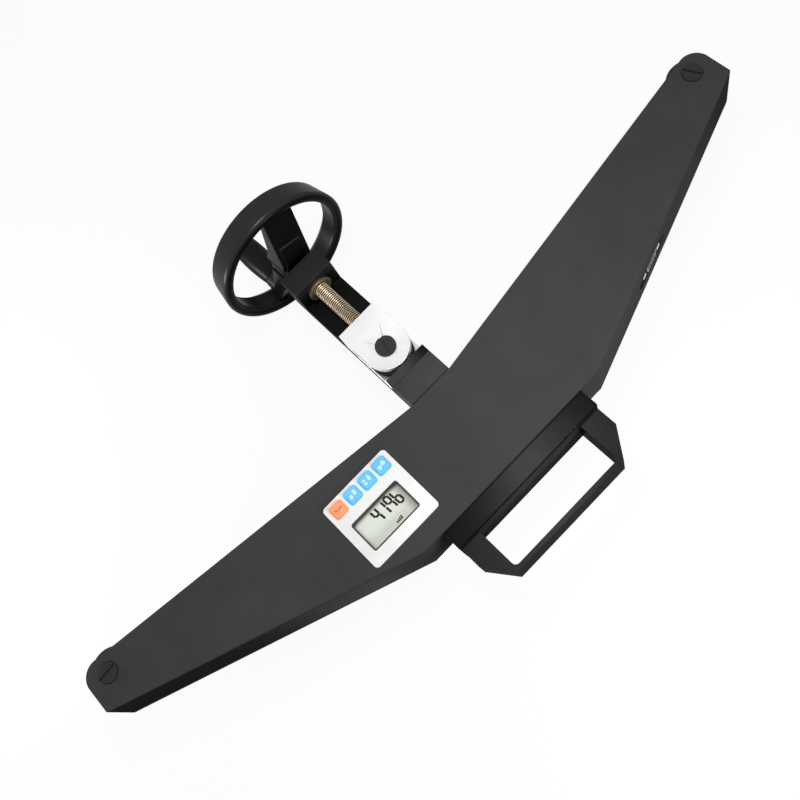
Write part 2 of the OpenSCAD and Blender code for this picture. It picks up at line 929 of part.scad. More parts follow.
// The circuit board on its four posts
module main_board() {
    color([0.1, 0.35, 0.2])
        block(
            [-panel_x - panel_w / 2 + ledge + board_inset / 2, -panel_x + panel_w / 2 - ledge - board_inset / 2],
            [-panel_drop - panel_h / 2 + ledge + board_inset / 2, -panel_drop + panel_h / 2 - ledge - board_inset / 2],
            [board_z, board_z + board_t]
        );
}

// The four switches under the keys
module key_switches() {
    top = cover_z - key_gap - key_flange_t - key_travel - key_gap;
    color([0.2, 0.2, 0.22])
        for (x = key_row) {
            rounded_plate(key_at(x), [6, 6], 0.8, [board_z + board_t, top - 1]);
            rod_z(key_at(x), 3.4, [board_z + board_t, top]);
        }
}

// One key with its hidden flange
module key(index, tint) {
    at = key_at(key_row[index]);
    flange_top = cover_z - key_gap;
    color(tint) {
        rounded_plate(at, [key_size, key_size], 1.5, [flange_top - 0.4, panel_top + key_proud]);
        rounded_plate(at, [key_flange, key_flange], 1.5, [flange_top - key_flange_t, flange_top]);
    }
}

module key_1() {
    key(0, [0.96, 0.6, 0.42]);
}

module key_2() {
    key(1, [0.4, 0.72, 0.96]);
}

module key_3() {
    key(2, [0.4, 0.72, 0.96]);
}

module key_4() {
    key(3, [0.4, 0.72, 0.96]);
}

// The double ended beam with its centre column
module load_cell() {
    z = [roller_z - cell_t / 2, roller_z + cell_t / 2];
    mid = -(cell_top + cell_low) / 2;
    gauge_x = cell_len / 4;
    color([0.75, 0.76, 0.78])
        difference() {
            union() {
                block([-cell_len / 2, cell_len / 2], [-cell_low, -cell_top], z);
                block([-column_w / 2, column_w / 2], [-cell_top - over, foot_low], z);
            }
            for (x = [-1, 1]) {
                rod_z([x * gauge_x, mid], gauge_d, [z[0] - over, z[1] + over]);
                rod_y([x * cell_bolt_x, roller_z], cell_bolt[0] + 2 * seat_fit, [-cell_low - over, -cell_top - 5]);
                rod_y([x * clamp_bolt_x, roller_z], clamp_bolt[0] + 2 * seat_fit, [-cell_top - 6, foot_low + over]);
            }
        }
}

// The bolts that hold the beam's ends, sunk in the base edge
module load_cell_bolts() {
    color([0.3, 0.3, 0.32])
        for (x = [-1, 1])
            cap_screw_y([x * cell_bolt_x, roller_z], cell_bolt, [-base_drop, -cell_top - 7]);
}

// The open tray that holds the cells
module battery_holder() {
    w = battery_count * battery_pitch + 2 * battery_wall;
    h = battery_len + 2 * battery_wall + 0.4;
    color([0.1, 0.1, 0.1])
        difference() {
            block(
                [panel_x - w / 2, panel_x + w / 2], [-panel_drop - h / 2, -panel_drop + h / 2],
                [battery_pocket_z - battery_wall - battery_d, battery_pocket_z]
            );
            block(
                [panel_x - w / 2 + battery_wall, panel_x + w / 2 - battery_wall],
                [-panel_drop - h / 2 + battery_wall, -panel_drop + h / 2 - battery_wall],
                [battery_pocket_z - battery_wall - battery_d - over, battery_pocket_z - battery_wall]
            );
        }
}

// The four cells, side by side
module battery_cells() {
    z = battery_pocket_z - battery_wall - battery_d / 2;
    color([0.75, 0.6, 0.2])
        for (i = [0 : battery_count - 1]) {
            x = panel_x + (i - (battery_count - 1) / 2) * battery_pitch;
            rod_y([x, z], battery_d, [-panel_drop - battery_len / 2, -panel_drop + battery_len / 2 - 1]);
            rod_y([x, z], 5.5, [-panel_drop, -panel_drop + battery_len / 2]);
        }
}

// A connector outline that narrows to one side
module d_shape(w, h) {
    lean = h * tan(10);
    polygon([
        [-w / 2, h / 2], [-w / 2 + lean, -h / 2], [w / 2 - lean, -h / 2], [w / 2, h / 2]
    ]);
}

// The steel shell and flange of the port
module port_shell() {
    floor_z = -recess_depth;
    color([0.8, 0.8, 0.8])
        on_arm_face()
            difference() {
                union() {
                    block([-flange_l / 2, flange_l / 2], [-flange_w / 2, flange_w / 2], [floor_z, floor_z + flange_t]);
                    translate([0, 0, floor_z])
                        linear_extrude(flange_t + shell_depth)
                            d_shape(shell_w, shell_h);
                }
                translate([0, 0, floor_z - over])
                    linear_extrude(flange_t + shell_depth + 2 * over)
                        d_shape(shell_w - 2 * shell_wall, shell_h - 2 * shell_wall);
                for (side = [-1, 1])
                    rod_z([side * jack_pitch / 2, 0], 3.1, [floor_z - over, floor_z + flange_t + over]);
            }
}

// The centre of one contact in the two rows
function contact_at(i) = i < 5 ? [(i - 2) * 2.77, 1.42] : [(i - 6.5) * 2.77, -1.42];

// The black block that holds the contacts
module port_insulator() {
    color([0.06, 0.06, 0.06])
        on_arm_face()
            difference() {
                translate([0, 0, -recess_depth - 4])
                    linear_extrude(4 + flange_t + 0.6)
                        d_shape(shell_w - 2 * shell_wall, shell_h - 2 * shell_wall);
                for (i = [0 : 8])
                    rod_z(contact_at(i), 1.04, [-recess_depth - 6, 0]);
            }
}

// The nine contacts
module port_pins() {
    color([0.85, 0.7, 0.35])
        on_arm_face()
            for (i = [0 : 8])
                rod_z(contact_at(i), 1, [-recess_depth - 6, -recess_depth + flange_t + shell_depth - 1]);
}

// The two hexagonal jack screws
module port_screws() {
    head_z = -recess_depth + flange_t;
    color([0.8, 0.8, 0.8])
        on_arm_face()
            for (side = [-1, 1])
                translate([side * jack_pitch / 2, 0, 0])
                    difference() {
                        union() {
                            rod_z([0, 0], 2.7, [-wall - 0.5, head_z]);
                            translate([0, 0, head_z])
                                cylinder(d = 5.5, h = 4.8, $fn = 6);
                        }
                        rod_z([0, 0], 2.2, [head_z + 0.5, over]);
                    }
}

// The clevis that carries the centre roller
module clevis() {
    half = clevis_w / 2;
    back = roller_z - clevis_half;
    front = roller_z + clevis_half;
    low = pin_y - half;
    color([0.93, 0.93, 0.93])
        difference() {
            union() {
                block([-half, half], [bridge_low, bridge_top], [back, front]);
                block([-half, half], [pin_y, bridge_top], [front - cheek_t, front]);
                rod_z([0, pin_y], clevis_w, [front - cheek_t, front]);
                block([-half, half], [low, bridge_top], [back, back + cheek_t]);
            }
            rod_z([0, pin_y], axle_d + 2 * press_fit, [back - over, front + over]);
            rod_y([0, roller_z], journal_d + 2 * run_fit, [bridge_low - over, bridge_top + over]);
            rod_y([0, roller_z], collar_d + 2 * run_fit, [bridge_low - over, bridge_low + collar_pocket]);
        }
}

// The slotted pin through the clevis
module clevis_pin() {
    back = roller_z - clevis_half;
    front = roller_z + clevis_half;
    head_top = front + pin_head_h;
    color([0.1, 0.1, 0.11])
        translate([0, pin_y, 0])
            difference() {
                union() {
                    rod_z([0, 0], axle_d, [back, front + over]);
                    rod_z([0, 0], pin_head_d, [front, head_top]);
                }
                rotate([0, 0, pin_slot_angle])
                    block([-pin_head_d, pin_head_d], [-slot_w / 2, slot_w / 2], [head_top - slot_depth, head_top + over]);
            }
}

// The washer between the screw's shoulder and the clevis
module thrust_washer() {
    color([0.72, 0.55, 0.3])
        difference() {
            rod_y([0, roller_z], washer_d, [bridge_top, bridge_top + washer_t]);
            rod_y([0, roller_z], journal_d + 2 * run_fit, [bridge_top - over, bridge_top + washer_t + over]);
        }
}

module centre_roller() {
    translate([0, pin_y, roller_z])
        roller(centre_roller_d, centre_groove_depth);
}

module centre_bush() {
    translate([0, pin_y, roller_z])
        bush();
}

// The clamp screw with its shoulder and its journal
module clamp_screw() {
    color([0.8, 0.75, 0.62]) {
        rod_y([0, roller_z], screw_d, [shoulder_y, screw_end]);
        rod_y([0, roller_z], journal_d, [bridge_low + float_gap, shoulder_y + over]);
    }
}

// The collar pinned on the journal, inside the clevis
module retaining_collar() {
    color([0.5, 0.5, 0.52])
        difference() {
            rod_y([0, roller_z], collar_d, [bridge_low + float_gap, bridge_low + float_gap + collar_h]);
            rod_y([0, roller_z], journal_d + 2 * press_fit, [bridge_low - over, bridge_low + collar_pocket + over]);
        }
}

// Section of the rim, rounded at its corners
module rim_section() {
    inner = wheel_d / 2 - rim_t;
    outer = wheel_d / 2;
    for (x = [inner + rim_corner, outer - rim_corner], y = [rim_near + rim_corner, rim_far - rim_corner])
        translate([x, y])
            circle(r = rim_corner);
    translate([inner + rim_corner, rim_near])
        square([rim_t - 2 * rim_corner, rim_w]);
    translate([inner, rim_near + rim_corner])
        square([rim_t, rim_w - 2 * rim_corner]);
}

// One spoke that rises from the hub to the rim
module spoke(angle, w, start, stop, lift, t) {
    rise = (dish + 2) / (rim_mid_r - hub_d / 2);
    near = hub_near + spoke_lift - lift;
    translate([0, 0, roller_z])
        rotate([0, -angle, 0])
            translate([0, 0, -w / 2])
                linear_extrude(w)
                    polygon([
                        [start, near + (start - hub_d / 2) * rise], [stop, near + (stop - hub_d / 2) * rise],
                        [stop, near + (stop - hub_d / 2) * rise + t], [start, near + (start - hub_d / 2) * rise + t]
                    ]);
}

// The dished handwheel with two spokes and a boss for the grip
module handwheel() {
    color([0.12, 0.12, 0.13])
        difference() {
            union() {
                translate([0, 0, roller_z])
                    rotate([-90, 0, 0])
                        rotate_extrude()
                            rim_section();
                rod_y([0, roller_z], hub_d, [hub_near, hub_far]);
                spoke(spoke_angle, spoke_w, hub_d / 4, rim_mid_r - 2, 0, spoke_t);
                spoke(spoke_angle, rib_w, hub_d / 4, hub_d / 2 + 14, spoke_lift, spoke_t);
                spoke(grip_angle, spoke_w, hub_d / 4, rim_mid_r - 2, 0, spoke_t);
                rod_y([grip_x, grip_z], boss_d, [rim_near, rim_far + grip_gap]);
            }
            rod_y([0, roller_z], screw_d + 2 * press_fit, [hub_near - over, hub_far + over]);
            rod_y([grip_x, grip_z], stud_d + 2 * press_fit, [rim_near - over, rim_far + 2 * over]);
        }
}

// The washer under the wheel nut
module wheel_washer() {
    color([0.6, 0.6, 0.62])
        difference() {
            rod_y([0, roller_z], wheel_washer_d, [hub_far, hub_far + wheel_washer_t]);
            rod_y([0, roller_z], screw_d + 2 * press_fit, [hub_far - over, hub_far + wheel_washer_t + over]);
        }
}

// The nut that holds the handwheel on the screw
module wheel_nut() {
    low = hub_far + wheel_washer_t;
    color([0.6, 0.6, 0.62])
        difference() {
            translate([0, low, roller_z])
                rotate([-90, 0, 0])
                    cylinder(d = wheel_nut_af / cos(30), h = wheel_nut_h, $fn = 6);
            rod_y([0, roller_z], screw_d + 2 * press_fit, [low - over, low + wheel_nut_h + over]);
        }
}

// The stud on which the grip turns
module grip_stud() {
    color([0.6, 0.6, 0.62])
        difference() {
            union() {
                rod_y([grip_x, grip_z], stud_d, [rim_near, grip_far]);
                rod_y([grip_x, grip_z], stud_head_d, [grip_far - stud_head_h, grip_far]);
            }
            translate([grip_x, grip_far - 2.5, grip_z])
                rotate([-90, 0, 0])
                    cylinder(d = 5.8, h = 2.5 + over, $fn = 6);
        }
}

// The revolving grip, slightly barrelled, with its head pocket
module revolving_grip() {
    mid = (grip_near + grip_far) / 2;
    crown_r = 220;
    color([0.09, 0.09, 0.1])
        translate([grip_x, 0, grip_z])
            rotate([-90, 0, 0])
                rotate_extrude()
                    difference() {
                        intersection() {
                            translate([stud_d / 2 + run_fit, grip_near])
                                square([grip_d / 2 - stud_d / 2 - run_fit, grip_len]);
                            translate([grip_d / 2 - crown_r, mid])
                                circle(r = crown_r, $fn = 720);
                        }
                        translate([0, grip_far - stud_head_h - grip_gap])
                            square([stud_head_d / 2 + run_fit, stud_head_h + grip_gap + over]);
                    }
}

main_frame();
front_cover();
rear_cover();
cover_screws();
left_axle();
right_axle();
axle_nuts();
clamp_frame();
anvil_pad();
clamp_bolts();
screw_nut();
handle_bracket();
bracket_screws();
handle();
handle_screws();
display_panel();
display_window();
lcd_module();
main_board();
key_switches();
key_1();
key_2();
key_3();
key_4();
load_cell();
load_cell_bolts();
battery_holder();
battery_cells();
port_shell();
port_insulator();
port_pins();
port_screws();
left_roller();
left_bush();
right_roller();
right_bush();
clevis();
clevis_pin();
thrust_washer();
centre_roller();
centre_bush();
clamp_screw();
retaining_collar();
handwheel();
wheel_washer();
wheel_nut();
grip_stud();
revolving_grip();
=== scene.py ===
import math

import bmesh
import bpy
from mathutils import Euler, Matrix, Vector


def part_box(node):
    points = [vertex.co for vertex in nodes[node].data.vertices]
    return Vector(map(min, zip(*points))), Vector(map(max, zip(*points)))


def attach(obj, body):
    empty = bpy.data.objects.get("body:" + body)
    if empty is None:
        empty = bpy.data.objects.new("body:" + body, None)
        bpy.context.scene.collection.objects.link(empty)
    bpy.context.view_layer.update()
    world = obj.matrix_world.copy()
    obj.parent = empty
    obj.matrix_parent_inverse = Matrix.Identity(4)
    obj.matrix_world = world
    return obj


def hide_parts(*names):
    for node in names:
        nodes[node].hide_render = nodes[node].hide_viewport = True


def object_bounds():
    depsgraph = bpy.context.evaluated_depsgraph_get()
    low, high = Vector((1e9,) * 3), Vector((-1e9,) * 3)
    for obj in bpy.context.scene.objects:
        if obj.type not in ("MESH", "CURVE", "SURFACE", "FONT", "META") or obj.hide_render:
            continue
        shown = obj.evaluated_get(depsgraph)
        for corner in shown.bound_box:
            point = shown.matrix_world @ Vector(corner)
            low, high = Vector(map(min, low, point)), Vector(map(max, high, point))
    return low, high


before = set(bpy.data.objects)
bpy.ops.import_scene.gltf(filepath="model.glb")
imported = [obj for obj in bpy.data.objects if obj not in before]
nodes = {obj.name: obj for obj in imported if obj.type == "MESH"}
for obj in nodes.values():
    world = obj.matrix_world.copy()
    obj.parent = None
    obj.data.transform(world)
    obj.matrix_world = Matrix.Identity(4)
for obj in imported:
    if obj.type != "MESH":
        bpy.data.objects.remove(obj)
cad_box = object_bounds()
scene = bpy.context.scene
MM = 0.001
UM = 0.000001

# Camera, as fitted to the photograph
CAMERA_AT = (-0.05491, -0.28099, 0.67404)
CAMERA_TURN_DEG = (18.0164, 13.4408, -44.3277)
CAMERA_LENS = 44.926
CAMERA_SENSOR = 36
CAMERA_SHIFT = (-0.01023, -0.00926)
CAMERA_CLIP = (0.02, 20)

# Clamp screw, with its thread's crest and each flank as shares of a pitch
SCREW_Z = 4 * MM
PITCH = 1.75 * MM
THREAD_OUTER = 5.97 * MM
THREAD_ROOT = 5.02 * MM
THREAD_CREST = 0.14
THREAD_FLANK = 0.31
# The next two set the painted shade in the thread's roots: full shade up to the first over the root,
# no shade within the second under the crest
ROOT_SHADE_RISE = 0.15 * MM
CREST_UNSHADED_DEPTH = 0.1 * MM
JOURNAL_R = 4 * MM
JOURNAL_CHAMFER = 0.5 * MM
SHOULDER_PLAY = 0.3 * MM
SCREW_CHAMFER = 1 * MM

# Handwheel, with levels measured from the near face of its hub
WHEEL_TURN_DEG = 73
HUB_GAP = 5.2 * MM
HUB_R = 12.5 * MM
HUB_BORE_R = 6.01 * MM
HUB_LEN = 19 * MM
WHEEL_R = 58.8 * MM
RIM_NEAR = 14.3 * MM
RIM_FAR = 37.2 * MM
RIM_NEAR_T = 8.4 * MM
RIM_FAR_T = 4.6 * MM
RIM_LEAN = 3.4 * MM
RIM_SLANT = 5 * MM
SPOKE_W = 26.5 * MM
SPOKE_T = 5 * MM
SPOKE_SEAT = 5.1 * MM
SPOKE_SETBACK = 1 * MM
SPOKE_STOP = 2 * MM
RIB_W = 20 * MM
RIB_REACH = 14 * MM
BOSS_R = 10 * MM
BOSS_FAR = RIM_FAR + 1.4 * MM

# Revolving grip on its stud
GRIP_OFFSET = 47.5 * MM
GRIP_R = 11.2 * MM
GRIP_CROWN = 2 * MM
GRIP_GAP = 0.6 * MM
STUD_R = 4 * MM
STUD_HEAD_R = 6 * MM
STUD_HEAD_H = 4 * MM
STUD_PLAY = 0.1 * MM
STUD_HEAD_PLAY = 0.4 * MM

# Display: the number's cells, and the small bar mark below it
NUMBER = "4196"
NUMBER_AT = (-92.3 * MM, -67.6 * MM)
NUMBER_LEAN = -0.085
CELL_W = 3.9 * MM
CELL_H = 5.6 * MM
CELL_PITCH = 6.2 * MM
STROKE_W = 1.75 * MM
SEGMENT_T = 0.05 * MM
BARS = 4
BARS_AT = (-84.2 * MM, -76.3 * MM)
BAR_PITCH = 1.5 * MM
BAR_W = 1.05 * MM
BAR_H = 1.6 * MM
BAR_RISE = 0.4 * MM

# Window seal
OPENING = (43.26 * MM, 24.96 * MM)
OPENING_R = 1.0 * MM
SEAL_W = 0.6 * MM
SEAL_INNER_R = 1.2 * MM
SEAL_LIP = 0.45 * MM
SEAL_LIP_R = 1.9 * MM
SEAL_LIP_T = 0.12 * MM

# Thin layers on the panel and raised marks on the keys
PRINT_LIFT = 0.01 * MM
PRINT_T = 0.05 * MM
KEY_BORDERS = (("edge", 10.1 * MM, 11.8 * MM), ("halo", 11.8 * MM, 13.1 * MM))
BORDER_INNER_R = 1.6 * MM
BORDER_OUTER_R = 2.4 * MM
MARK_HALF = 3.9 * MM
MARK_SUNK = 0.02 * MM
MARK_T = 0.06 * MM
MARK_STEP = 0.01 * MM
TICK_W = 1.0 * MM
SHAPE_W = 1.9 * MM

# Ends of a pointed bar, as shares of its width: the gap left before it, and its tip
TIP_GAP = 0.05
TIP_LENGTH = 0.35

# Grain of a finish: soft patches in its colour, fine spread in its gloss, and the
# middle range of a noise texture that both are mapped from
PATCH_SCALE = 22
PATCH_SHADES = (0.88, 1.14)
GLOSS_SHARES = (0.88, 1.12)
GRAIN_STRENGTH = 0.5
NOISE_MIDDLE = (0.3, 0.7)

# How much of a surface's direction lies along an axis, from where the surface starts
# to count as facing that way to where it counts in full
FACING_RANGE = (0.5, 0.9)

# Rounded edges: the reach that joins points, the steps of a bevel and the sharpest
# angle that stays smooth
WELD_REACH = 0.002 * MM
BEVEL_STEPS = 3
SMOOTH_DEG = 35
THREAD_SMOOTH_DEG = 40

# Studio
WORLD_LIGHT = 0.35
FLOOR_REACH = 6.0
FLOOR_GAP = 0.2 * MM
FLOOR_GLOW = 0.93

# Lamps: place, aim and size in metres, then power in watts
LAMPS = {
    "key": ((0.06, 0.03, 0.70), (0.02, -0.04, 0), (0.08, 0.26), 2.5),
    "fill": ((0.12, -0.46, 0.14), (0.06, -0.12, 0), (0.22, 0.10), 1.9),
    "side": ((-0.45, 0.28, 0.02), (0, 0.12, 0), (0.25, 0.10), 1.9),
}

# Colours, as linear values
BLACK_PAINT = (0.036, 0.036, 0.0365)
# BLACK_SIDE is also the painted shade on the edges of the covers, darker than their face
BLACK_SIDE = (0.030, 0.030, 0.0305)
BLACK_STEEL = (0.010, 0.010, 0.0105)
BLACK_PLASTIC = (0.007, 0.007, 0.0073)
WHITE_FILM = (0.86, 0.86, 0.85)
LCD_LIGHT = (0.74, 0.77, 0.68)
# The next colour is the painted shade under the display window's edges
LCD_PAINTED_SHADE = (0.10, 0.115, 0.10)
KEY_BLUE = (0.17, 0.55, 0.94)
KEY_ORANGE = (0.94, 0.35, 0.18)


# Node helpers

def add_node(tree, kind, at, **inputs):
    """A shader node with some of its inputs set."""
    node = tree.nodes.new(kind)
    node.location = at
    for name, value in inputs.items():
        node.inputs[name.replace("_", " ")].default_value = value
    return node


def plain_material(name, colour, roughness, metallic=0.0, specular=0.5):
    """A material with one Principled shader, and that shader."""
    material = bpy.data.materials.new(name)
    material.use_nodes = True
    shader = material.node_tree.nodes["Principled BSDF"]
    shader.inputs["Base Color"].default_value = (*colour, 1)
    shader.inputs["Roughness"].default_value = roughness
    shader.inputs["Metallic"].default_value = metallic
    shader.inputs["Specular IOR Level"].default_value = specular
    return material, shader


def object_coordinates(tree, stretch=(1, 1, 1)):
    """The socket of the object's own coordinates, stretched along its axes."""
    place = add_node(tree, "ShaderNodeTexCoord", (-1200, 0))
    mapping = add_node(tree, "ShaderNodeMapping", (-1000, 0))
    mapping.inputs["Scale"].default_value = stretch
    tree.links.new(place.outputs["Object"], mapping.inputs["Vector"])
    return mapping.outputs["Vector"]


def noise(tree, coordinates, scale, detail, at):
    """The factor socket of a noise texture."""
    texture = add_node(tree, "ShaderNodeTexNoise", at, Scale=scale, Detail=detail, Roughness=0.6)
    tree.links.new(coordinates, texture.inputs["Vector"])
    return texture.outputs["Fac"]


def spread(tree, factor, low, high, at):
    """A factor mapped from its middle range to a new range."""
    node = add_node(
        tree, "ShaderNodeMapRange", at,
        From_Min=NOISE_MIDDLE[0], From_Max=NOISE_MIDDLE[1], To_Min=low, To_Max=high,
    )
    tree.links.new(factor, node.inputs["Value"])
    return node.outputs["Result"]


def tint(tree, factor, dark, light, at):
    """A colour between two colours."""
    node = tree.nodes.new("ShaderNodeMix")
    node.data_type = "RGBA"
    node.location = at
    node.inputs["A"].default_value = (*dark, 1)
    node.inputs["B"].default_value = (*light, 1)
    tree.links.new(factor, node.inputs["Factor"])
    return node.outputs["Result"]


def bump(tree, shader, height, distance, strength):
    """Surface grain from a height."""
    node = add_node(tree, "ShaderNodeBump", (-300, -400), Strength=strength, Distance=distance)
    tree.links.new(height, node.inputs["Height"])
    tree.links.new(node.outputs["Normal"], shader.inputs["Normal"])


def scaled(colour, k):
    """A colour made darker or lighter."""
    return tuple(c * k for c in colour)


def grained(
    name, colour, roughness, grain, depth, specular=0.5, edge=1.0, stretch=(1, 1, 1), metallic=0.0,
):
    """A finish with soft patches in its colour and gloss, and fine grain in its surface."""
    material, shader = plain_material(name, colour, roughness, metallic, specular)
    shader.inputs["Specular Tint"].default_value = (edge, edge, edge, 1)
    tree = material.node_tree
    at = object_coordinates(tree, stretch)
    patches = noise(tree, at, PATCH_SCALE, 3, (-800, 300))
    fine = noise(tree, at, grain, 2, (-800, -300))
    patch = spread(tree, patches, 0.0, 1.0, (-600, 300))
    dark, light = (scaled(colour, k) for k in PATCH_SHADES)
    tree.links.new(tint(tree, patch, dark, light, (-400, 300)), shader.inputs["Base Color"])
    low, high = (roughness * k for k in GLOSS_SHARES)
    tree.links.new(spread(tree, fine, low, high, (-600, 0)), shader.inputs["Roughness"])
    bump(tree, shader, fine, depth, GRAIN_STRENGTH)
    return material


def satin(name, colour, roughness, grain, depth, gloss=0.25, edge=0.2, stretch=(1, 1, 1)):
    """A dark satin finish: a matt base under a weak gloss that stays weak at a low angle."""
    return grained(name, colour, roughness, grain, depth, 0.0, edge, stretch, gloss)


def base_colour(material):
    """A material's node tree, the socket of its colour, and what feeds that socket."""
    tree = material.node_tree
    colour = tree.nodes["Principled BSDF"].inputs["Base Color"]
    return tree, colour, colour.links[0].from_socket


def darken(material, level, at):
    """Scales the material's colour by a level, and gives the material back."""
    tree, colour, painted = base_colour(material)
    darker = add_node(tree, "ShaderNodeVectorMath", at)
    darker.operation = "SCALE"
    tree.links.new(painted, darker.inputs[0])
    tree.links.new(level, darker.inputs["Scale"])
    tree.links.new(darker.outputs["Vector"], colour)
    return material


def absolute(tree, value, at):
    """The size of a value without its sign."""
    node = add_node(tree, "ShaderNodeMath", at)
    node.operation = "ABSOLUTE"
    tree.links.new(value, node.inputs[0])
    return node.outputs["Value"]


def shaded_along(material, axis, bright_at, dark_at, share, both_ways=False):
    """Painted shade: a finish that goes down to a share of its colour along one of the object's axes.
    """
    tree = material.node_tree
    place = add_node(tree, "ShaderNodeTexCoord", (-1400, 900))
    parts = add_node(tree, "ShaderNodeSeparateXYZ", (-1200, 900))
    level = add_node(
        tree, "ShaderNodeMapRange", (-1000, 900),
        From_Min=bright_at, From_Max=dark_at, To_Min=1.0, To_Max=share,
    )
    level.interpolation_type = "SMOOTHSTEP"
    tree.links.new(place.outputs["Object"], parts.inputs["Vector"])
    along = parts.outputs[axis]
    if both_ways:
        along = absolute(tree, along, (-1100, 1050))
    tree.links.new(along, level.inputs["Value"])
    return darken(material, level.outputs["Result"], (-200, 700))


def facing(tree, axis, at):
    """One on a face that looks along the axis, zero beside it, from the surface's direction."""
    geometry = add_node(tree, "ShaderNodeNewGeometry", at)
    parts = add_node(tree, "ShaderNodeSeparateXYZ", (at[0] + 200, at[1]))
    level = add_node(
        tree, "ShaderNodeMapRange", (at[0] + 600, at[1]),
        From_Min=FACING_RANGE[0], From_Max=FACING_RANGE[1],
    )
    tree.links.new(geometry.outputs["Normal"], parts.inputs["Vector"])
    size = absolute(tree, parts.outputs[axis], (at[0] + 400, at[1]))
    tree.links.new(size, level.inputs["Value"])
    return level.outputs["Result"]


def darker_facing(material, axis, share):
    """Painted shade: a finish that goes down to a share of its colour on faces that look along the
    axis.
    """
    tree = material.node_tree
    level = add_node(tree, "ShaderNodeMapRange", (-500, 1100), To_Min=1.0, To_Max=share)
    tree.links.new(facing(tree, axis, (-1400, 1100)), level.inputs["Value"])
    return darken(material, level.outputs["Result"], (-100, 1000))


def own_sides(material, side_colour):
    """Paints a darker side colour, as painted shade, on every face that doesn't lie flat, and gives
    the socket that tells flat faces.
    """
    tree, colour, painted = base_colour(material)
    flat = facing(tree, "Z", (-1400, 800))
    mix = tree.nodes.new("ShaderNodeMix")
    mix.data_type = "RGBA"
    mix.location = (-150, 500)
    mix.inputs["A"].default_value = (*side_colour, 1)
    tree.links.new(flat, mix.inputs["Factor"])
    tree.links.new(painted, mix.inputs["B"])
    tree.links.new(mix.outputs["Result"], colour)
    return flat


def cover_material():
    """The sprayed face of a cover, with its cut edge as dark as the frame's side: painted shade on
    the faces that don't lie flat.
    """
    gloss_on_top = 0.15
    material = grained("cover_paint", BLACK_PAINT, 0.6, 1500, 40 * UM, specular=gloss_on_top)
    tree = material.node_tree
    flat = own_sides(material, BLACK_SIDE)
    gloss = add_node(tree, "ShaderNodeMapRange", (-150, 800), To_Min=0.0, To_Max=gloss_on_top)
    specular = tree.nodes["Principled BSDF"].inputs["Specular IOR Level"]
    tree.links.new(flat, gloss.inputs["Value"])
    tree.links.new(gloss.outputs["Result"], specular)
    return material


def side_material():
    """The frame's milled side: dull black with painted light, palest near the panel from a painted
    highlight and darker at both arms' ends from painted shade.
    """
    material = grained("side_paint", scaled(BLACK_SIDE, 1.6), 0.6, 1500, 40 * UM, specular=0.0)
    shaded_along(material, "X", bright_at=230 * MM, dark_at=320 * MM, share=0.6)
    shaded_along(material, "X", bright_at=-125 * MM, dark_at=-95 * MM, share=0.625)
    return shaded_along(material, "X", bright_at=-140 * MM, dark_at=-220 * MM, share=0.3)


def clamp_material():
    """Blued steel with painted shade: darker at the clamp's upper end and deep in its gap."""
    colour = scaled(BLACK_STEEL, 3.3)
    material = satin(
        "blued_steel", colour, 0.42, 900, 30 * UM, gloss=0.5, edge=0.8, stretch=(1, 1, 0.3),
    )
    shaded_along(material, "Y", bright_at=22 * MM, dark_at=60 * MM, share=0.68)
    return shaded_along(material, "Z", bright_at=16 * MM, dark_at=8 * MM, share=0.36)


def pad_material():
    """Hardened steel with a painted shadow of the clevis: bright at its left end and dark at its
    right end.
    """
    colour = scaled(BLACK_STEEL, 4.2)
    material = satin("hard_black_steel", colour, 0.45, 1200, 30 * UM, gloss=0.3, edge=0.5)
    return shaded_along(material, "X", bright_at=-6 * MM, dark_at=18 * MM, share=0.22)


def bracket_material():
    """Glossy black paint with painted light: a painted highlight in the middle, with painted shade
    toward the bracket's two ends and on its face.
    """
    colour = scaled(BLACK_STEEL, 3.6)
    material = satin("bracket_paint", colour, 0.27, 900, 10 * UM, gloss=0.36, edge=0.3)
    shaded_along(material, "Z", bright_at=9 * MM, dark_at=16 * MM, share=0.28)
    return shaded_along(material, "X", bright_at=4 * MM, dark_at=60 * MM, share=0.6, both_ways=True)


def wheel_material():
    """Moulded black with painted light: paler where it faces up, and painted shade on its other
    faces, darkest where they face along the screw.
    """
    colour = scaled(BLACK_PLASTIC, 3.9)
    material = satin("wheel_plastic", colour, 0.28, 1100, 30 * UM, gloss=0.45, edge=0.9)
    own_sides(material, scaled(BLACK_PLASTIC, 3.2))
    return darker_facing(material, "Y", 0.25)


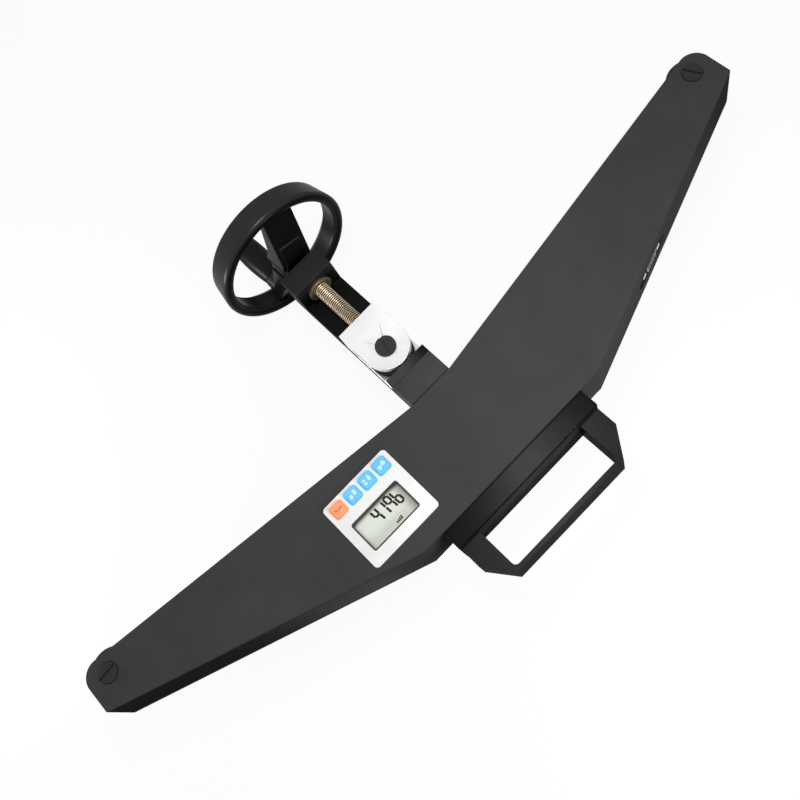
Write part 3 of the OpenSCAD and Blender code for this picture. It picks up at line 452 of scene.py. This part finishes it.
def thread_material():
    """Rolled steel with painted shade in the thread's roots, by distance from the screw axis."""
    crest = (0.78, 0.66, 0.47)
    # The dark colour below is the painted shade in the thread's roots
    root = (0.030, 0.022, 0.012)
    material, shader = plain_material("rolled_thread", crest, 0.35, metallic=0.7)
    tree = material.node_tree
    place = add_node(tree, "ShaderNodeTexCoord", (-1400, 0))
    parts = add_node(tree, "ShaderNodeSeparateXYZ", (-1200, 0))
    across = add_node(tree, "ShaderNodeCombineXYZ", (-800, 0))
    height = add_node(tree, "ShaderNodeMath", (-1000, -100))
    height.operation = "SUBTRACT"
    height.inputs[1].default_value = SCREW_Z
    length = add_node(tree, "ShaderNodeVectorMath", (-600, 0))
    length.operation = "LENGTH"
    level = add_node(
        tree, "ShaderNodeMapRange", (-400, 0),
        From_Min=THREAD_ROOT + ROOT_SHADE_RISE, From_Max=THREAD_OUTER - CREST_UNSHADED_DEPTH,
    )
    tree.links.new(place.outputs["Object"], parts.inputs["Vector"])
    tree.links.new(parts.outputs["Z"], height.inputs[0])
    tree.links.new(parts.outputs["X"], across.inputs["X"])
    tree.links.new(height.outputs["Value"], across.inputs["Z"])
    tree.links.new(across.outputs["Vector"], length.inputs[0])
    tree.links.new(length.outputs["Value"], level.inputs["Value"])
    spots = noise(tree, place.outputs["Object"], 300, 3, (-800, 400))
    wear = spread(tree, spots, 0.8, 1.0, (-600, 400))
    share = add_node(tree, "ShaderNodeMath", (-200, 200))
    share.operation = "MULTIPLY"
    tree.links.new(level.outputs["Result"], share.inputs[0])
    tree.links.new(wear, share.inputs[1])
    colours = tint(tree, share.outputs["Value"], root, crest, (0, 200))
    tree.links.new(colours, shader.inputs["Base Color"])
    return material


def lcd_material():
    """The grey green of the display, with painted shade under the window's upper, left and right
    edges.
    """
    material, shader = plain_material("lcd", LCD_LIGHT, 0.35)
    tree = material.node_tree
    low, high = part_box("lcd_module")
    place = add_node(tree, "ShaderNodeTexCoord", (-1200, 0))
    parts = add_node(tree, "ShaderNodeSeparateXYZ", (-1000, 0))
    tree.links.new(place.outputs["Object"], parts.inputs["Vector"])
    hidden_top, hidden_side = 2.2 * MM, 3.4 * MM
    top_shade, right_shade, left_shade = 4.6 * MM, 9 * MM, 3.2 * MM
    right_level, left_level = 0.66, 0.40
    window_top = high.y - hidden_top
    window_right = high.x - hidden_side
    window_left = low.x + hidden_side
    up = add_node(
        tree, "ShaderNodeMapRange", (-800, 300),
        From_Min=window_top - top_shade, From_Max=window_top,
    )
    right = add_node(
        tree, "ShaderNodeMapRange", (-800, 0),
        From_Min=window_right - right_shade, From_Max=window_right, To_Max=right_level,
    )
    left = add_node(
        tree, "ShaderNodeMapRange", (-800, -300),
        From_Min=window_left + left_shade, From_Max=window_left, To_Max=left_level,
    )
    for node, axis in ((up, "Y"), (right, "X"), (left, "X")):
        node.interpolation_type = "SMOOTHSTEP"
        tree.links.new(parts.outputs[axis], node.inputs["Value"])
    sides = add_node(tree, "ShaderNodeMath", (-600, -100))
    sides.operation = "MAXIMUM"
    tree.links.new(right.outputs["Result"], sides.inputs[0])
    tree.links.new(left.outputs["Result"], sides.inputs[1])
    both = add_node(tree, "ShaderNodeMath", (-500, 100))
    both.operation = "ADD"
    both.use_clamp = True
    tree.links.new(up.outputs["Result"], both.inputs[0])
    tree.links.new(sides.outputs["Value"], both.inputs[1])
    colours = tint(tree, both.outputs["Value"], LCD_LIGHT, LCD_PAINTED_SHADE, (-400, 100))
    tree.links.new(colours, shader.inputs["Base Color"])
    return material


def pane_material():
    """The clear window over the display."""
    material, shader = plain_material("pane", (0.9, 0.93, 0.9), 0.04)
    shader.inputs["Alpha"].default_value = 0.03
    return material


def make_materials():
    """Every material by a short name."""
    steel, plastic = BLACK_STEEL, BLACK_PLASTIC
    brushed = (0.2, 1, 1)
    turned = (0.2, 1, 0.2)
    metal = {"metallic": 1.0}
    print_finish = {"roughness": 0.45, "grain": 900, "depth": 10 * UM}
    made = {
        "cover": cover_material(),
        "side": side_material(),
        "clamp": clamp_material(),
        "pad": pad_material(),
        "screw_black": grained("black_oxide", scaled(steel, 2.2), 0.5, 1100, 30 * UM, specular=0.15),
        "zinc": grained("zinc_plate", (0.52, 0.52, 0.54), 0.34, 900, 20 * UM, **metal),
        "brass": grained(
            "turned_brass", (0.33, 0.26, 0.14), 0.3, 900, 20 * UM, metallic=0.8, stretch=turned,
        ),
        "thread": thread_material(),
        "chrome": grained(
            "white_chrome", (0.73, 0.73, 0.735), 0.3, 700, 10 * UM, metallic=0.35, specular=0.1,
        ),
        "roller": grained("roller_black", steel, 0.4, 1000, 20 * UM, specular=0.25),
        "bronze": grained("bush_bronze", (0.50, 0.31, 0.13), 0.4, 1400, 30 * UM, **metal),
        "wheel": wheel_material(),
        "grip": satin("grip_plastic", scaled(plastic, 2.2), 0.3, 1100, 30 * UM, gloss=0.6, edge=0.6),
        "handle": satin("handle_paint", scaled(steel, 1.25), 0.3, 1500, 20 * UM, gloss=0.3, edge=0.3),
        "bracket": bracket_material(),
        # Near black painted shade for the rounded edges of the handle and its bracket
        "edge_shade": grained("edge_shade_black", scaled(steel, 0.3), 0.5, 900, 10 * UM, specular=0.0),
        "panel": grained("white_film", WHITE_FILM, 0.5, 1600, 20 * UM, specular=0.2),
        "board": grained("circuit_board", (0.02, 0.10, 0.045), 0.5, 900, 20 * UM),
        "moulded": grained("moulded_black", (0.02, 0.02, 0.021), 0.5, 1200, 40 * UM, specular=0.2),
        "key_blue": grained("key_blue", KEY_BLUE, 0.4, 900, 20 * UM, specular=0.3),
        "key_orange": grained("key_orange", KEY_ORANGE, 0.4, 900, 20 * UM, specular=0.3),
        "ground": grained(
            "ground_steel", (0.58, 0.59, 0.60), 0.32, 900, 20 * UM, stretch=brushed, **metal,
        ),
        "battery": grained("battery_sleeve", (0.45, 0.30, 0.08), 0.35, 900, 20 * UM),
        "tin": grained("tin_plate", (0.78, 0.78, 0.78), 0.22, 900, 20 * UM, **metal),
        "gold": grained("gold_plate", (0.85, 0.62, 0.24), 0.22, 900, 20 * UM, **metal),
        "mark_white": grained("mark_white", (0.52, 0.90, 0.98), **print_finish),
        "mark_dark": grained("mark_dark", (0.50, 0.12, 0.045), **print_finish),
        "key_halo": grained("key_halo", (0.62, 0.86, 0.95), specular=0.2, **print_finish),
        "key_halo_warm": grained("key_halo_warm", (0.93, 0.76, 0.62), specular=0.2, **print_finish),
        "key_edge": grained("key_edge", (0.14, 0.52, 0.72), specular=0.2, **print_finish),
        "key_edge_warm": grained("key_edge_warm", (0.86, 0.42, 0.22), specular=0.2, **print_finish),
        "segment": grained("segment_black", (0.0015, 0.002, 0.0015), 0.6, 900, 10 * UM, specular=0.1),
        "seal": grained("window_seal", (0.035, 0.036, 0.035), 0.5, 900, 10 * UM, specular=0.2),
        "lcd": lcd_material(),
        "pane": pane_material(),
    }
    return made


# The nodes that have each finish
FINISH = {
    "cover": ["front_cover", "rear_cover"],
    "side": ["main_frame"],
    "clamp": ["clamp_frame"],
    "pad": ["anvil_pad"],
    "screw_black": [
        "cover_screws", "left_axle", "right_axle", "clamp_bolts", "bracket_screws", "handle_screws",
        "load_cell_bolts", "clevis_pin", "wheel_washer", "wheel_nut", "grip_stud",
    ],
    "zinc": ["axle_nuts", "retaining_collar"],
    "brass": ["screw_nut"],
    "thread": ["clamp_screw"],
    "chrome": ["clevis"],
    "roller": ["left_roller", "right_roller", "centre_roller"],
    "bronze": ["left_bush", "right_bush", "centre_bush", "thrust_washer"],
    "wheel": ["handwheel"],
    "grip": ["revolving_grip"],
    "handle": ["handle"],
    "bracket": ["handle_bracket"],
    "panel": ["display_panel"],
    "pane": ["display_window"],
    "lcd": ["lcd_module"],
    "board": ["main_board"],
    "moulded": ["key_switches", "battery_holder", "port_insulator"],
    "key_orange": ["key_1"],
    "key_blue": ["key_2", "key_3", "key_4"],
    "ground": ["load_cell"],
    "battery": ["battery_cells"],
    "tin": ["port_shell", "port_screws"],
    "gold": ["port_pins"],
}

# Width of the worn edge on each piece, in millimetres
EDGE = {
    "front_cover": 0.8, "rear_cover": 0.8, "main_frame": 0.25, "clamp_frame": 0.45,
    "anvil_pad": 0.4, "clevis": 0.4, "clevis_pin": 0.25, "left_axle": 0.25, "right_axle": 0.25,
    "screw_nut": 0.25, "handle_bracket": 0.6, "handle": 0.5, "display_panel": 0.3,
    "key_1": 0.7, "key_2": 0.7, "key_3": 0.7, "key_4": 0.7,
    "left_roller": 0.2, "right_roller": 0.2, "centre_roller": 0.2, "port_screws": 0.15,
    "wheel_nut": 0.4, "wheel_washer": 0.2, "grip_stud": 0.3,
}
WHEEL_EDGE = 0.7
GRIP_EDGE = 0.8

# Nodes whose rounded edges are painted near black as painted shade, so that they show as a dark line
DARK_EDGES = ("handle_bracket", "handle")


def round_edges(piece, width):
    """Rounded edges, as a modifier that leaves the mesh as it is."""
    weld = piece.modifiers.new("join", "WELD")
    weld.merge_threshold = WELD_REACH
    bevel = piece.modifiers.new("edge", "BEVEL")
    bevel.width = width * MM
    bevel.segments = BEVEL_STEPS
    bevel.limit_method = "ANGLE"
    bevel.angle_limit = math.radians(SMOOTH_DEG)
    bevel.use_clamp_overlap = True
    bevel.harden_normals = False
    normals = piece.modifiers.new("shade", "WEIGHTED_NORMAL")
    normals.keep_sharp = True
    return bevel


def dress_nodes(materials):
    """Gives every CAD node its material and its worn edges, with painted shade on the rounded edges
    of the nodes in DARK_EDGES.
    """
    for finish, names in FINISH.items():
        for name in names:
            mesh = nodes[name].data
            mesh.materials.clear()
            mesh.materials.append(materials[finish])
    for name, width in EDGE.items():
        bevel = round_edges(nodes[name], width)
        if name in DARK_EDGES:
            nodes[name].data.materials.append(materials["edge_shade"])
            bevel.material = 1


# Mesh helpers

def mesh_object(name, bm, material, body):
    """A piece from a bmesh, riding on a body."""
    mesh = bpy.data.meshes.new(name)
    bm.normal_update()
    bm.to_mesh(mesh)
    bm.free()
    mesh.materials.append(material)
    piece = bpy.data.objects.new(name, mesh)
    scene.collection.objects.link(piece)
    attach(piece, body)
    return piece


def smooth(piece, angle=SMOOTH_DEG):
    """Smooth shading with sharp edges kept."""
    for polygon in piece.data.polygons:
        polygon.use_smooth = True
    bpy.context.view_layer.objects.active = piece
    with bpy.context.temp_override(object=piece, selected_editable_objects=[piece]):
        bpy.ops.object.shade_smooth_by_angle(angle=math.radians(angle))


def ring_along_y(bm, y, radii):
    """One ring of points about the screw axis, with a radius for each point."""
    ring = []
    for i, r in enumerate(radii):
        turn = 2 * math.pi * i / len(radii)
        ring.append(bm.verts.new((r * math.sin(turn), y, SCREW_Z + r * math.cos(turn))))
    return ring


def join_rings(bm, first, second):
    """Faces between two rings."""
    count = len(first)
    for i in range(count):
        j = (i + 1) % count
        bm.faces.new((first[i], first[j], second[j], second[i]))


def thread_radius(share):
    """The thread's radius at a share of one pitch: crest, flank, root, flank."""
    away = abs((share % 1.0) - 0.5) * 2
    if away <= THREAD_CREST:
        return THREAD_OUTER
    if away >= THREAD_CREST + 2 * THREAD_FLANK:
        return THREAD_ROOT
    down = (away - THREAD_CREST) / (2 * THREAD_FLANK)
    return THREAD_OUTER + (THREAD_ROOT - THREAD_OUTER) * down


def clamp_screw(materials):
    """The clamp screw with its real thread, shoulder and journal."""
    low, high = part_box("clamp_screw")
    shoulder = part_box("thrust_washer")[1].y + SHOULDER_PLAY
    around = 48
    steps_per_pitch = 10
    rounding = 1e-9
    bm = bmesh.new()
    journal = [
        (low.y, JOURNAL_R - JOURNAL_CHAMFER), (low.y + JOURNAL_CHAMFER, JOURNAL_R),
        (shoulder, JOURNAL_R),
    ]
    rings = [ring_along_y(bm, y, [r] * around) for y, r in journal]
    y = shoulder
    while y <= high.y + rounding:
        cut = max(0.0, SCREW_CHAMFER - (y - shoulder), SCREW_CHAMFER - (high.y - y))
        limit = THREAD_OUTER - cut
        radii = [min(limit, thread_radius((y / PITCH) - i / around)) for i in range(around)]
        rings.append(ring_along_y(bm, y, radii))
        y += PITCH / steps_per_pitch
    for first, second in zip(rings, rings[1:]):
        join_rings(bm, first, second)
    bm.faces.new(list(reversed(rings[0])))
    bm.faces.new(rings[-1])
    bmesh.ops.recalc_face_normals(bm, faces=bm.faces)
    piece = mesh_object("threaded_screw", bm, materials["thread"], "spindle")
    smooth(piece, THREAD_SMOOTH_DEG)
    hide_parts("clamp_screw")


def lathe(bm, centre, section, around=96):
    """A closed section of radius and height pairs, turned about a line along Y."""
    rings = []
    for r, y in section:
        ring = []
        for i in range(around):
            turn = 2 * math.pi * i / around
            point = (centre[0] + r * math.sin(turn), y, centre[1] + r * math.cos(turn))
            ring.append(bm.verts.new(point))
        rings.append(ring)
    for first, second in zip(rings, rings[1:] + rings[:1]):
        join_rings(bm, first, second)


def plate_along(bm, turn, profile, width):
    """A plate through the screw axis, from a profile of reach and height pairs."""
    along = Vector((math.cos(turn), 0, math.sin(turn)))
    side = Vector((-math.sin(turn), 0, math.cos(turn)))
    outlines = []
    for w in (-width / 2, width / 2):
        points = [along * u + side * w + Vector((0, y, SCREW_Z)) for u, y in profile]
        outlines.append([bm.verts.new(point) for point in points])
    first, second = outlines
    bm.faces.new(first)
    bm.faces.new(list(reversed(second)))
    for i in range(len(profile)):
        j = (i + 1) % len(profile)
        bm.faces.new((first[i], second[i], second[j], first[j]))


def rim_section(hub_near):
    """The rim's section: round at its near edge and cut at a slant at its far edge."""
    steps = 16
    near_r = RIM_NEAR_T / 2
    near = (WHEEL_R - near_r, hub_near + RIM_NEAR + near_r)
    far_outer = (WHEEL_R - RIM_LEAN, hub_near + RIM_FAR)
    far_inner = (far_outer[0] - RIM_FAR_T, far_outer[1] - RIM_SLANT)
    outer_lean = math.atan2(RIM_LEAN, far_outer[1] - near[1])
    inner_lean = math.atan2(far_inner[0] - near[0] + near_r, far_inner[1] - near[1])
    start = math.pi - inner_lean
    end = 2 * math.pi + outer_lean
    points = []
    for i in range(steps + 1):
        turn = start + (end - start) * i / steps
        points.append((near[0] + near_r * math.cos(turn), near[1] + near_r * math.sin(turn)))
    return points + [far_outer, far_inner]


def ring_section(inner_r, outer_r, near, far):
    """The section of a plain ring."""
    return [(inner_r, near), (outer_r, near), (outer_r, far), (inner_r, far)]


def wheel_places():
    """The level of the hub's near face, and the place of the grip's axis beside the screw's."""
    hub_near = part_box("clamp_frame")[1].y + HUB_GAP
    turn = math.radians(WHEEL_TURN_DEG + 180)
    grip_at = (GRIP_OFFSET * math.cos(turn), SCREW_Z + GRIP_OFFSET * math.sin(turn))
    return hub_near, grip_at


def handwheel(materials):
    """The dished handwheel: a deep rim, wedge shaped spokes, a rib, a hub and the grip's boss."""
    hub_near, grip_at = wheel_places()
    hub_far = hub_near + HUB_LEN
    rim_mid = WHEEL_R - RIM_NEAR_T / 2
    slope = (RIM_NEAR + SPOKE_SEAT) / (rim_mid - HUB_R)
    stop = rim_mid - SPOKE_STOP
    near = hub_near + SPOKE_SETBACK
    end = near + slope * (stop - HUB_R)
    spoke = [
        (HUB_R / 2, near), (HUB_R, near), (stop, end),
        (stop, end + SPOKE_T), (HUB_R, hub_far), (HUB_R / 2, hub_far),
    ]
    rib_stop = HUB_R + RIB_REACH
    rib_end = hub_near + slope * RIB_REACH
    rib = [
        (HUB_R / 2, hub_near), (HUB_R, hub_near), (rib_stop, rib_end),
        (rib_stop, rib_end + SPOKE_T), (HUB_R / 2, hub_far),
    ]
    boss_near = hub_near + RIM_NEAR + SPOKE_SEAT
    turn = math.radians(WHEEL_TURN_DEG)
    bm = bmesh.new()
    lathe(bm, (0, SCREW_Z), rim_section(hub_near))
    lathe(bm, (0, SCREW_Z), ring_section(HUB_BORE_R, HUB_R, hub_near, hub_far))
    lathe(bm, grip_at, ring_section(STUD_R, BOSS_R, boss_near, hub_near + BOSS_FAR))
    plate_along(bm, turn, spoke, SPOKE_W)
    plate_along(bm, turn, rib, RIB_W)
    plate_along(bm, turn + math.pi, spoke, SPOKE_W)
    bmesh.ops.recalc_face_normals(bm, faces=bm.faces)
    wheel = mesh_object("dished_wheel", bm, materials["wheel"], "spindle")
    smooth(wheel)
    round_edges(wheel, WHEEL_EDGE)
    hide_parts("handwheel")


def revolving_grip(materials):
    """The barrel shaped grip, bored for its stud and the stud's head."""
    hub_near, grip_at = wheel_places()
    near = hub_near + BOSS_FAR + GRIP_GAP
    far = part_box("revolving_grip")[1].y
    bore_r = STUD_R + STUD_PLAY
    pocket_r = STUD_HEAD_R + STUD_PLAY
    pocket = far - STUD_HEAD_H - STUD_HEAD_PLAY
    steps = 12
    section = [(bore_r, near)]
    for i in range(steps + 1):
        from_middle = 2 * i / steps - 1
        r = GRIP_R - GRIP_CROWN * from_middle * from_middle
        section.append((r, near + (far - near) * i / steps))
    section += [(pocket_r, far), (pocket_r, pocket), (bore_r, pocket)]
    bm = bmesh.new()
    lathe(bm, grip_at, section, around=64)
    bmesh.ops.recalc_face_normals(bm, faces=bm.faces)
    grip = mesh_object("barrel_grip", bm, materials["grip"], "grip")
    smooth(grip)
    round_edges(grip, GRIP_EDGE)
    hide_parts("revolving_grip")


def prism(bm, points, z_low, z_high):
    """A closed prism over an outline in the XY plane."""
    low = [bm.verts.new((x, y, z_low)) for x, y in points]
    high = [bm.verts.new((x, y, z_high)) for x, y in points]
    bm.faces.new(list(reversed(low)))
    bm.faces.new(high)
    for i in range(len(points)):
        j = (i + 1) % len(points)
        bm.faces.new((low[i], low[j], high[j], high[i]))


# Segments of a digit on a cell of width 1 and height 2, by the two ends of each bar.
# All ten digits are here, so that NUMBER can be any number.
SEGMENTS = {
    "a": ((0, 2), (1, 2)), "b": ((1, 2), (1, 1)), "c": ((1, 1), (1, 0)), "d": ((0, 0), (1, 0)),
    "e": ((0, 1), (0, 0)), "f": ((0, 2), (0, 1)), "g": ((0, 1), (1, 1)),
}
DIGITS = {
    "0": "abcdef", "1": "bc", "2": "abged", "3": "abgcd", "4": "fgbc",
    "5": "afgcd", "6": "fgedc", "7": "abc", "8": "abcdefg", "9": "gfabc",
}


def bar(bm, start, end, width, z_low, z_high):
    """A bar with pointed ends between two points."""
    s, e = Vector(start), Vector(end)
    along = (e - s).normalized()
    side = Vector((-along.y, along.x)) * width / 2
    gap = along * width * TIP_GAP
    tip = along * width * TIP_LENGTH
    s, e = s + gap, e - gap
    points = [s, s + tip - side, e - tip - side, e, e - tip + side, s + tip + side]
    prism(bm, [(p.x, p.y) for p in points], z_low, z_high)


def display_digits(materials):
    """A plain number in slanted segments, and a small bar mark below it."""
    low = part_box("lcd_module")[1].z
    high = low + SEGMENT_T
    bm = bmesh.new()
    for place, digit in enumerate(NUMBER):
        for name in DIGITS[digit]:
            ends = []
            for u, v in SEGMENTS[name]:
                lean = (v - 1) * CELL_H * NUMBER_LEAN
                x = NUMBER_AT[0] + place * CELL_PITCH + u * CELL_W + lean
                ends.append((x, NUMBER_AT[1] + v * CELL_H))
            bar(bm, ends[0], ends[1], STROKE_W, low, high)
    for i in range(BARS):
        left = BARS_AT[0] + i * BAR_PITCH
        right = left + BAR_W
        bottom = BARS_AT[1]
        top = bottom + BAR_H + i * BAR_RISE
        prism(bm, ((left, bottom), (right, bottom), (right, top), (left, top)), low, high)
    piece = mesh_object("display_digits", bm, materials["segment"], "body")


def rounded_outline(centre, size, r, steps=6):
    """Points of a rectangle with round corners, counterclockwise."""
    points = []
    for quarter, (sx, sy) in enumerate(((1, 1), (-1, 1), (-1, -1), (1, -1))):
        corner = (centre[0] + sx * (size[0] / 2 - r), centre[1] + sy * (size[1] / 2 - r))
        for i in range(steps + 1):
            turn = math.radians(90 * quarter + 90 * i / steps)
            points.append((corner[0] + r * math.cos(turn), corner[1] + r * math.sin(turn)))
    return points


def outline_ring(name, centre, loops, material):
    """A closed ring over rounded outlines, each given by its size, corner radius and height."""
    bm = bmesh.new()
    rings = []
    for size, r, z in loops:
        rings.append([bm.verts.new((x, y, z)) for x, y in rounded_outline(centre, size, r)])
    for first, second in zip(rings, rings[1:] + rings[:1]):
        join_rings(bm, first, second)
    bmesh.ops.recalc_face_normals(bm, faces=bm.faces)
    piece = mesh_object(name, bm, material, "body")


def window_seal(materials):
    """A dark seal around the pane, with a thin lip over the edge of the panel's opening."""
    low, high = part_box("display_window")
    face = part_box("display_panel")[1].z
    under = face + PRINT_LIFT
    top = face + SEAL_LIP_T
    over = [side + 2 * SEAL_LIP for side in OPENING]
    inner = [side - 2 * SEAL_W for side in OPENING]
    loops = [
        (inner, SEAL_INNER_R, high.z), (inner, SEAL_INNER_R, top), (over, SEAL_LIP_R, top),
        (over, SEAL_LIP_R, under), (OPENING, OPENING_R, under), (OPENING, OPENING_R, high.z),
    ]
    outline_ring("window_seal", (low + high) / 2, loops, materials["seal"])


def key_edges(materials):
    """Two thin rings on the panel around each key, in the key's colour, the outer one pale."""
    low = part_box("display_panel")[1].z + PRINT_LIFT
    high = low + PRINT_T
    for i in range(1, 5):
        key_low, key_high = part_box("key_%d" % i)
        centre = (key_low + key_high) / 2
        for kind, inner, outer in KEY_BORDERS:
            loops = [
                ((inner, inner), BORDER_INNER_R, low), ((inner, inner), BORDER_INNER_R, high),
                ((outer, outer), BORDER_OUTER_R, high), ((outer, outer), BORDER_OUTER_R, low),
            ]
            finish = materials["key_" + kind + ("_warm" if i == 1 else "")]
            outline_ring("key_%d_%s" % (i, kind), centre, loops, finish)


def key_mark(name, node, body, strokes, width, material):
    """Raised strokes on a key's face, given in shares of MARK_HALF from its centre."""
    low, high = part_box(node)
    centre = (low + high) / 2
    bottom = high.z - MARK_SUNK
    bm = bmesh.new()
    for i, stroke in enumerate(strokes):
        start, end = ((centre.x + u * MARK_HALF, centre.y + v * MARK_HALF) for u, v in stroke)
        bar(bm, start, end, width, bottom, bottom + MARK_T + i * MARK_STEP)
    piece = mesh_object(name, bm, material, body)


def key_marks(materials):
    """Plain marks on the four keys: a tick, and pairs of small shapes."""
    white, dark = materials["mark_white"], materials["mark_dark"]
    tick = [((-0.8, 0.3), (-0.2, -0.2)), ((-0.2, -0.2), (0.9, 0.1))]
    steps = [
        ((-0.85, -0.3), (-0.1, -0.3)), ((-0.4, -0.6), (-0.4, 0.35)), ((0.1, 0.4), (0.9, 0.4)),
        ((0.1, -0.1), (0.9, -0.1)),
    ]
    pair = [
        ((-0.9, 0.3), (-0.2, 0.3)), ((-0.9, -0.4), (-0.2, -0.4)), ((0.5, 0.7), (0.5, -0.5)),
        ((0.1, 0.1), (0.9, 0.1)),
    ]
    square = [
        ((-0.85, -0.35), (-0.2, -0.35)), ((-0.3, -0.4), (-0.3, 0.3)), ((-0.85, 0.05), (-0.3, 0.05)),
        ((0.15, 0.35), (0.85, 0.35)), ((0.35, 0.4), (0.35, -0.3)), ((0.75, 0.4), (0.75, -0.3)),
    ]
    key_mark("key_1_mark", "key_1", "first_key", tick, TICK_W, dark)
    key_mark("key_2_mark", "key_2", "second_key", steps, SHAPE_W, white)
    key_mark("key_3_mark", "key_3", "third_key", pair, SHAPE_W, white)
    key_mark("key_4_mark", "key_4", "fourth_key", square, SHAPE_W, white)


def make_camera():
    """The camera at the photograph's viewpoint."""
    data = bpy.data.cameras.new("camera")
    data.sensor_width = CAMERA_SENSOR
    data.lens = CAMERA_LENS
    data.shift_x, data.shift_y = CAMERA_SHIFT
    data.clip_start, data.clip_end = CAMERA_CLIP
    camera = bpy.data.objects.new("camera", data)
    camera.location = CAMERA_AT
    camera.rotation_euler = Euler([math.radians(a) for a in CAMERA_TURN_DEG])
    scene.collection.objects.link(camera)
    scene.camera = camera


def seen_directly(tree):
    """One where a ray comes from the camera, a mirror or glass, else zero."""
    path = add_node(tree, "ShaderNodeLightPath", (-900, 300))
    total = add_node(tree, "ShaderNodeMath", (-700, 300))
    total.operation = "MAXIMUM"
    last = add_node(tree, "ShaderNodeMath", (-500, 300))
    last.operation = "MAXIMUM"
    tree.links.new(path.outputs["Is Camera Ray"], total.inputs[0])
    tree.links.new(path.outputs["Is Glossy Ray"], total.inputs[1])
    tree.links.new(total.outputs["Value"], last.inputs[0])
    tree.links.new(path.outputs["Is Transmission Ray"], last.inputs[1])
    return last.outputs["Value"]


def make_world():
    """A plain studio: white where it is seen, softer where it lights."""
    world = bpy.data.worlds.new("studio")
    scene.world = world
    world.use_nodes = True
    tree = world.node_tree
    background = tree.nodes["Background"]
    background.inputs["Color"].default_value = (1, 1, 1, 1)
    strength = add_node(tree, "ShaderNodeMapRange", (-300, 300), To_Min=WORLD_LIGHT, To_Max=1.0)
    tree.links.new(seen_directly(tree), strength.inputs["Value"])
    tree.links.new(strength.outputs["Result"], background.inputs["Strength"])


def make_floor():
    """A pale floor under the lowest point, with a faint shadow."""
    low = cad_box[0].z - FLOOR_GAP
    corners = ((-1, -1), (1, -1), (1, 1), (-1, 1))
    bm = bmesh.new()
    bm.faces.new([bm.verts.new((x * FLOOR_REACH, y * FLOOR_REACH, low)) for x, y in corners])
    mesh = bpy.data.meshes.new("floor")
    bm.to_mesh(mesh)
    bm.free()
    floor = bpy.data.objects.new("floor", mesh)
    scene.collection.objects.link(floor)
    material, shader = plain_material("floor", (0.82, 0.82, 0.82), 0.9, specular=0.1)
    tree = material.node_tree
    glow = add_node(tree, "ShaderNodeEmission", (0, 300), Color=(1, 1, 1, 1), Strength=1.0)
    share = add_node(tree, "ShaderNodeMath", (-300, 300))
    share.operation = "MULTIPLY"
    share.inputs[1].default_value = FLOOR_GLOW
    mix = add_node(tree, "ShaderNodeMixShader", (300, 200))
    tree.links.new(seen_directly(tree), share.inputs[0])
    tree.links.new(share.outputs["Value"], mix.inputs["Fac"])
    tree.links.new(shader.outputs["BSDF"], mix.inputs[1])
    tree.links.new(glow.outputs["Emission"], mix.inputs[2])
    tree.links.new(mix.outputs["Shader"], tree.nodes["Material Output"].inputs["Surface"])
    mesh.materials.append(material)


def area_lamp(name, at, target, size, power):
    """A soft lamp aimed at a point."""
    data = bpy.data.lights.new(name, "AREA")
    data.shape = "RECTANGLE"
    data.size, data.size_y = size
    data.energy = power
    lamp = bpy.data.objects.new(name, data)
    lamp.location = at
    aim = Vector(target) - Vector(at)
    lamp.rotation_euler = aim.to_track_quat("-Z", "Y").to_euler()
    scene.collection.objects.link(lamp)


def make_lamps():
    """A soft lamp over the face, and weaker ones beyond the handle and beside the clamp."""
    for name, (at, target, size, power) in LAMPS.items():
        area_lamp(name, at, target, size, power)


scene.view_settings.view_transform = "Standard"
materials = make_materials()
dress_nodes(materials)
clamp_screw(materials)
handwheel(materials)
revolving_grip(materials)
display_digits(materials)
window_seal(materials)
key_edges(materials)
key_marks(materials)
make_camera()
make_world()
make_floor()
make_lamps()
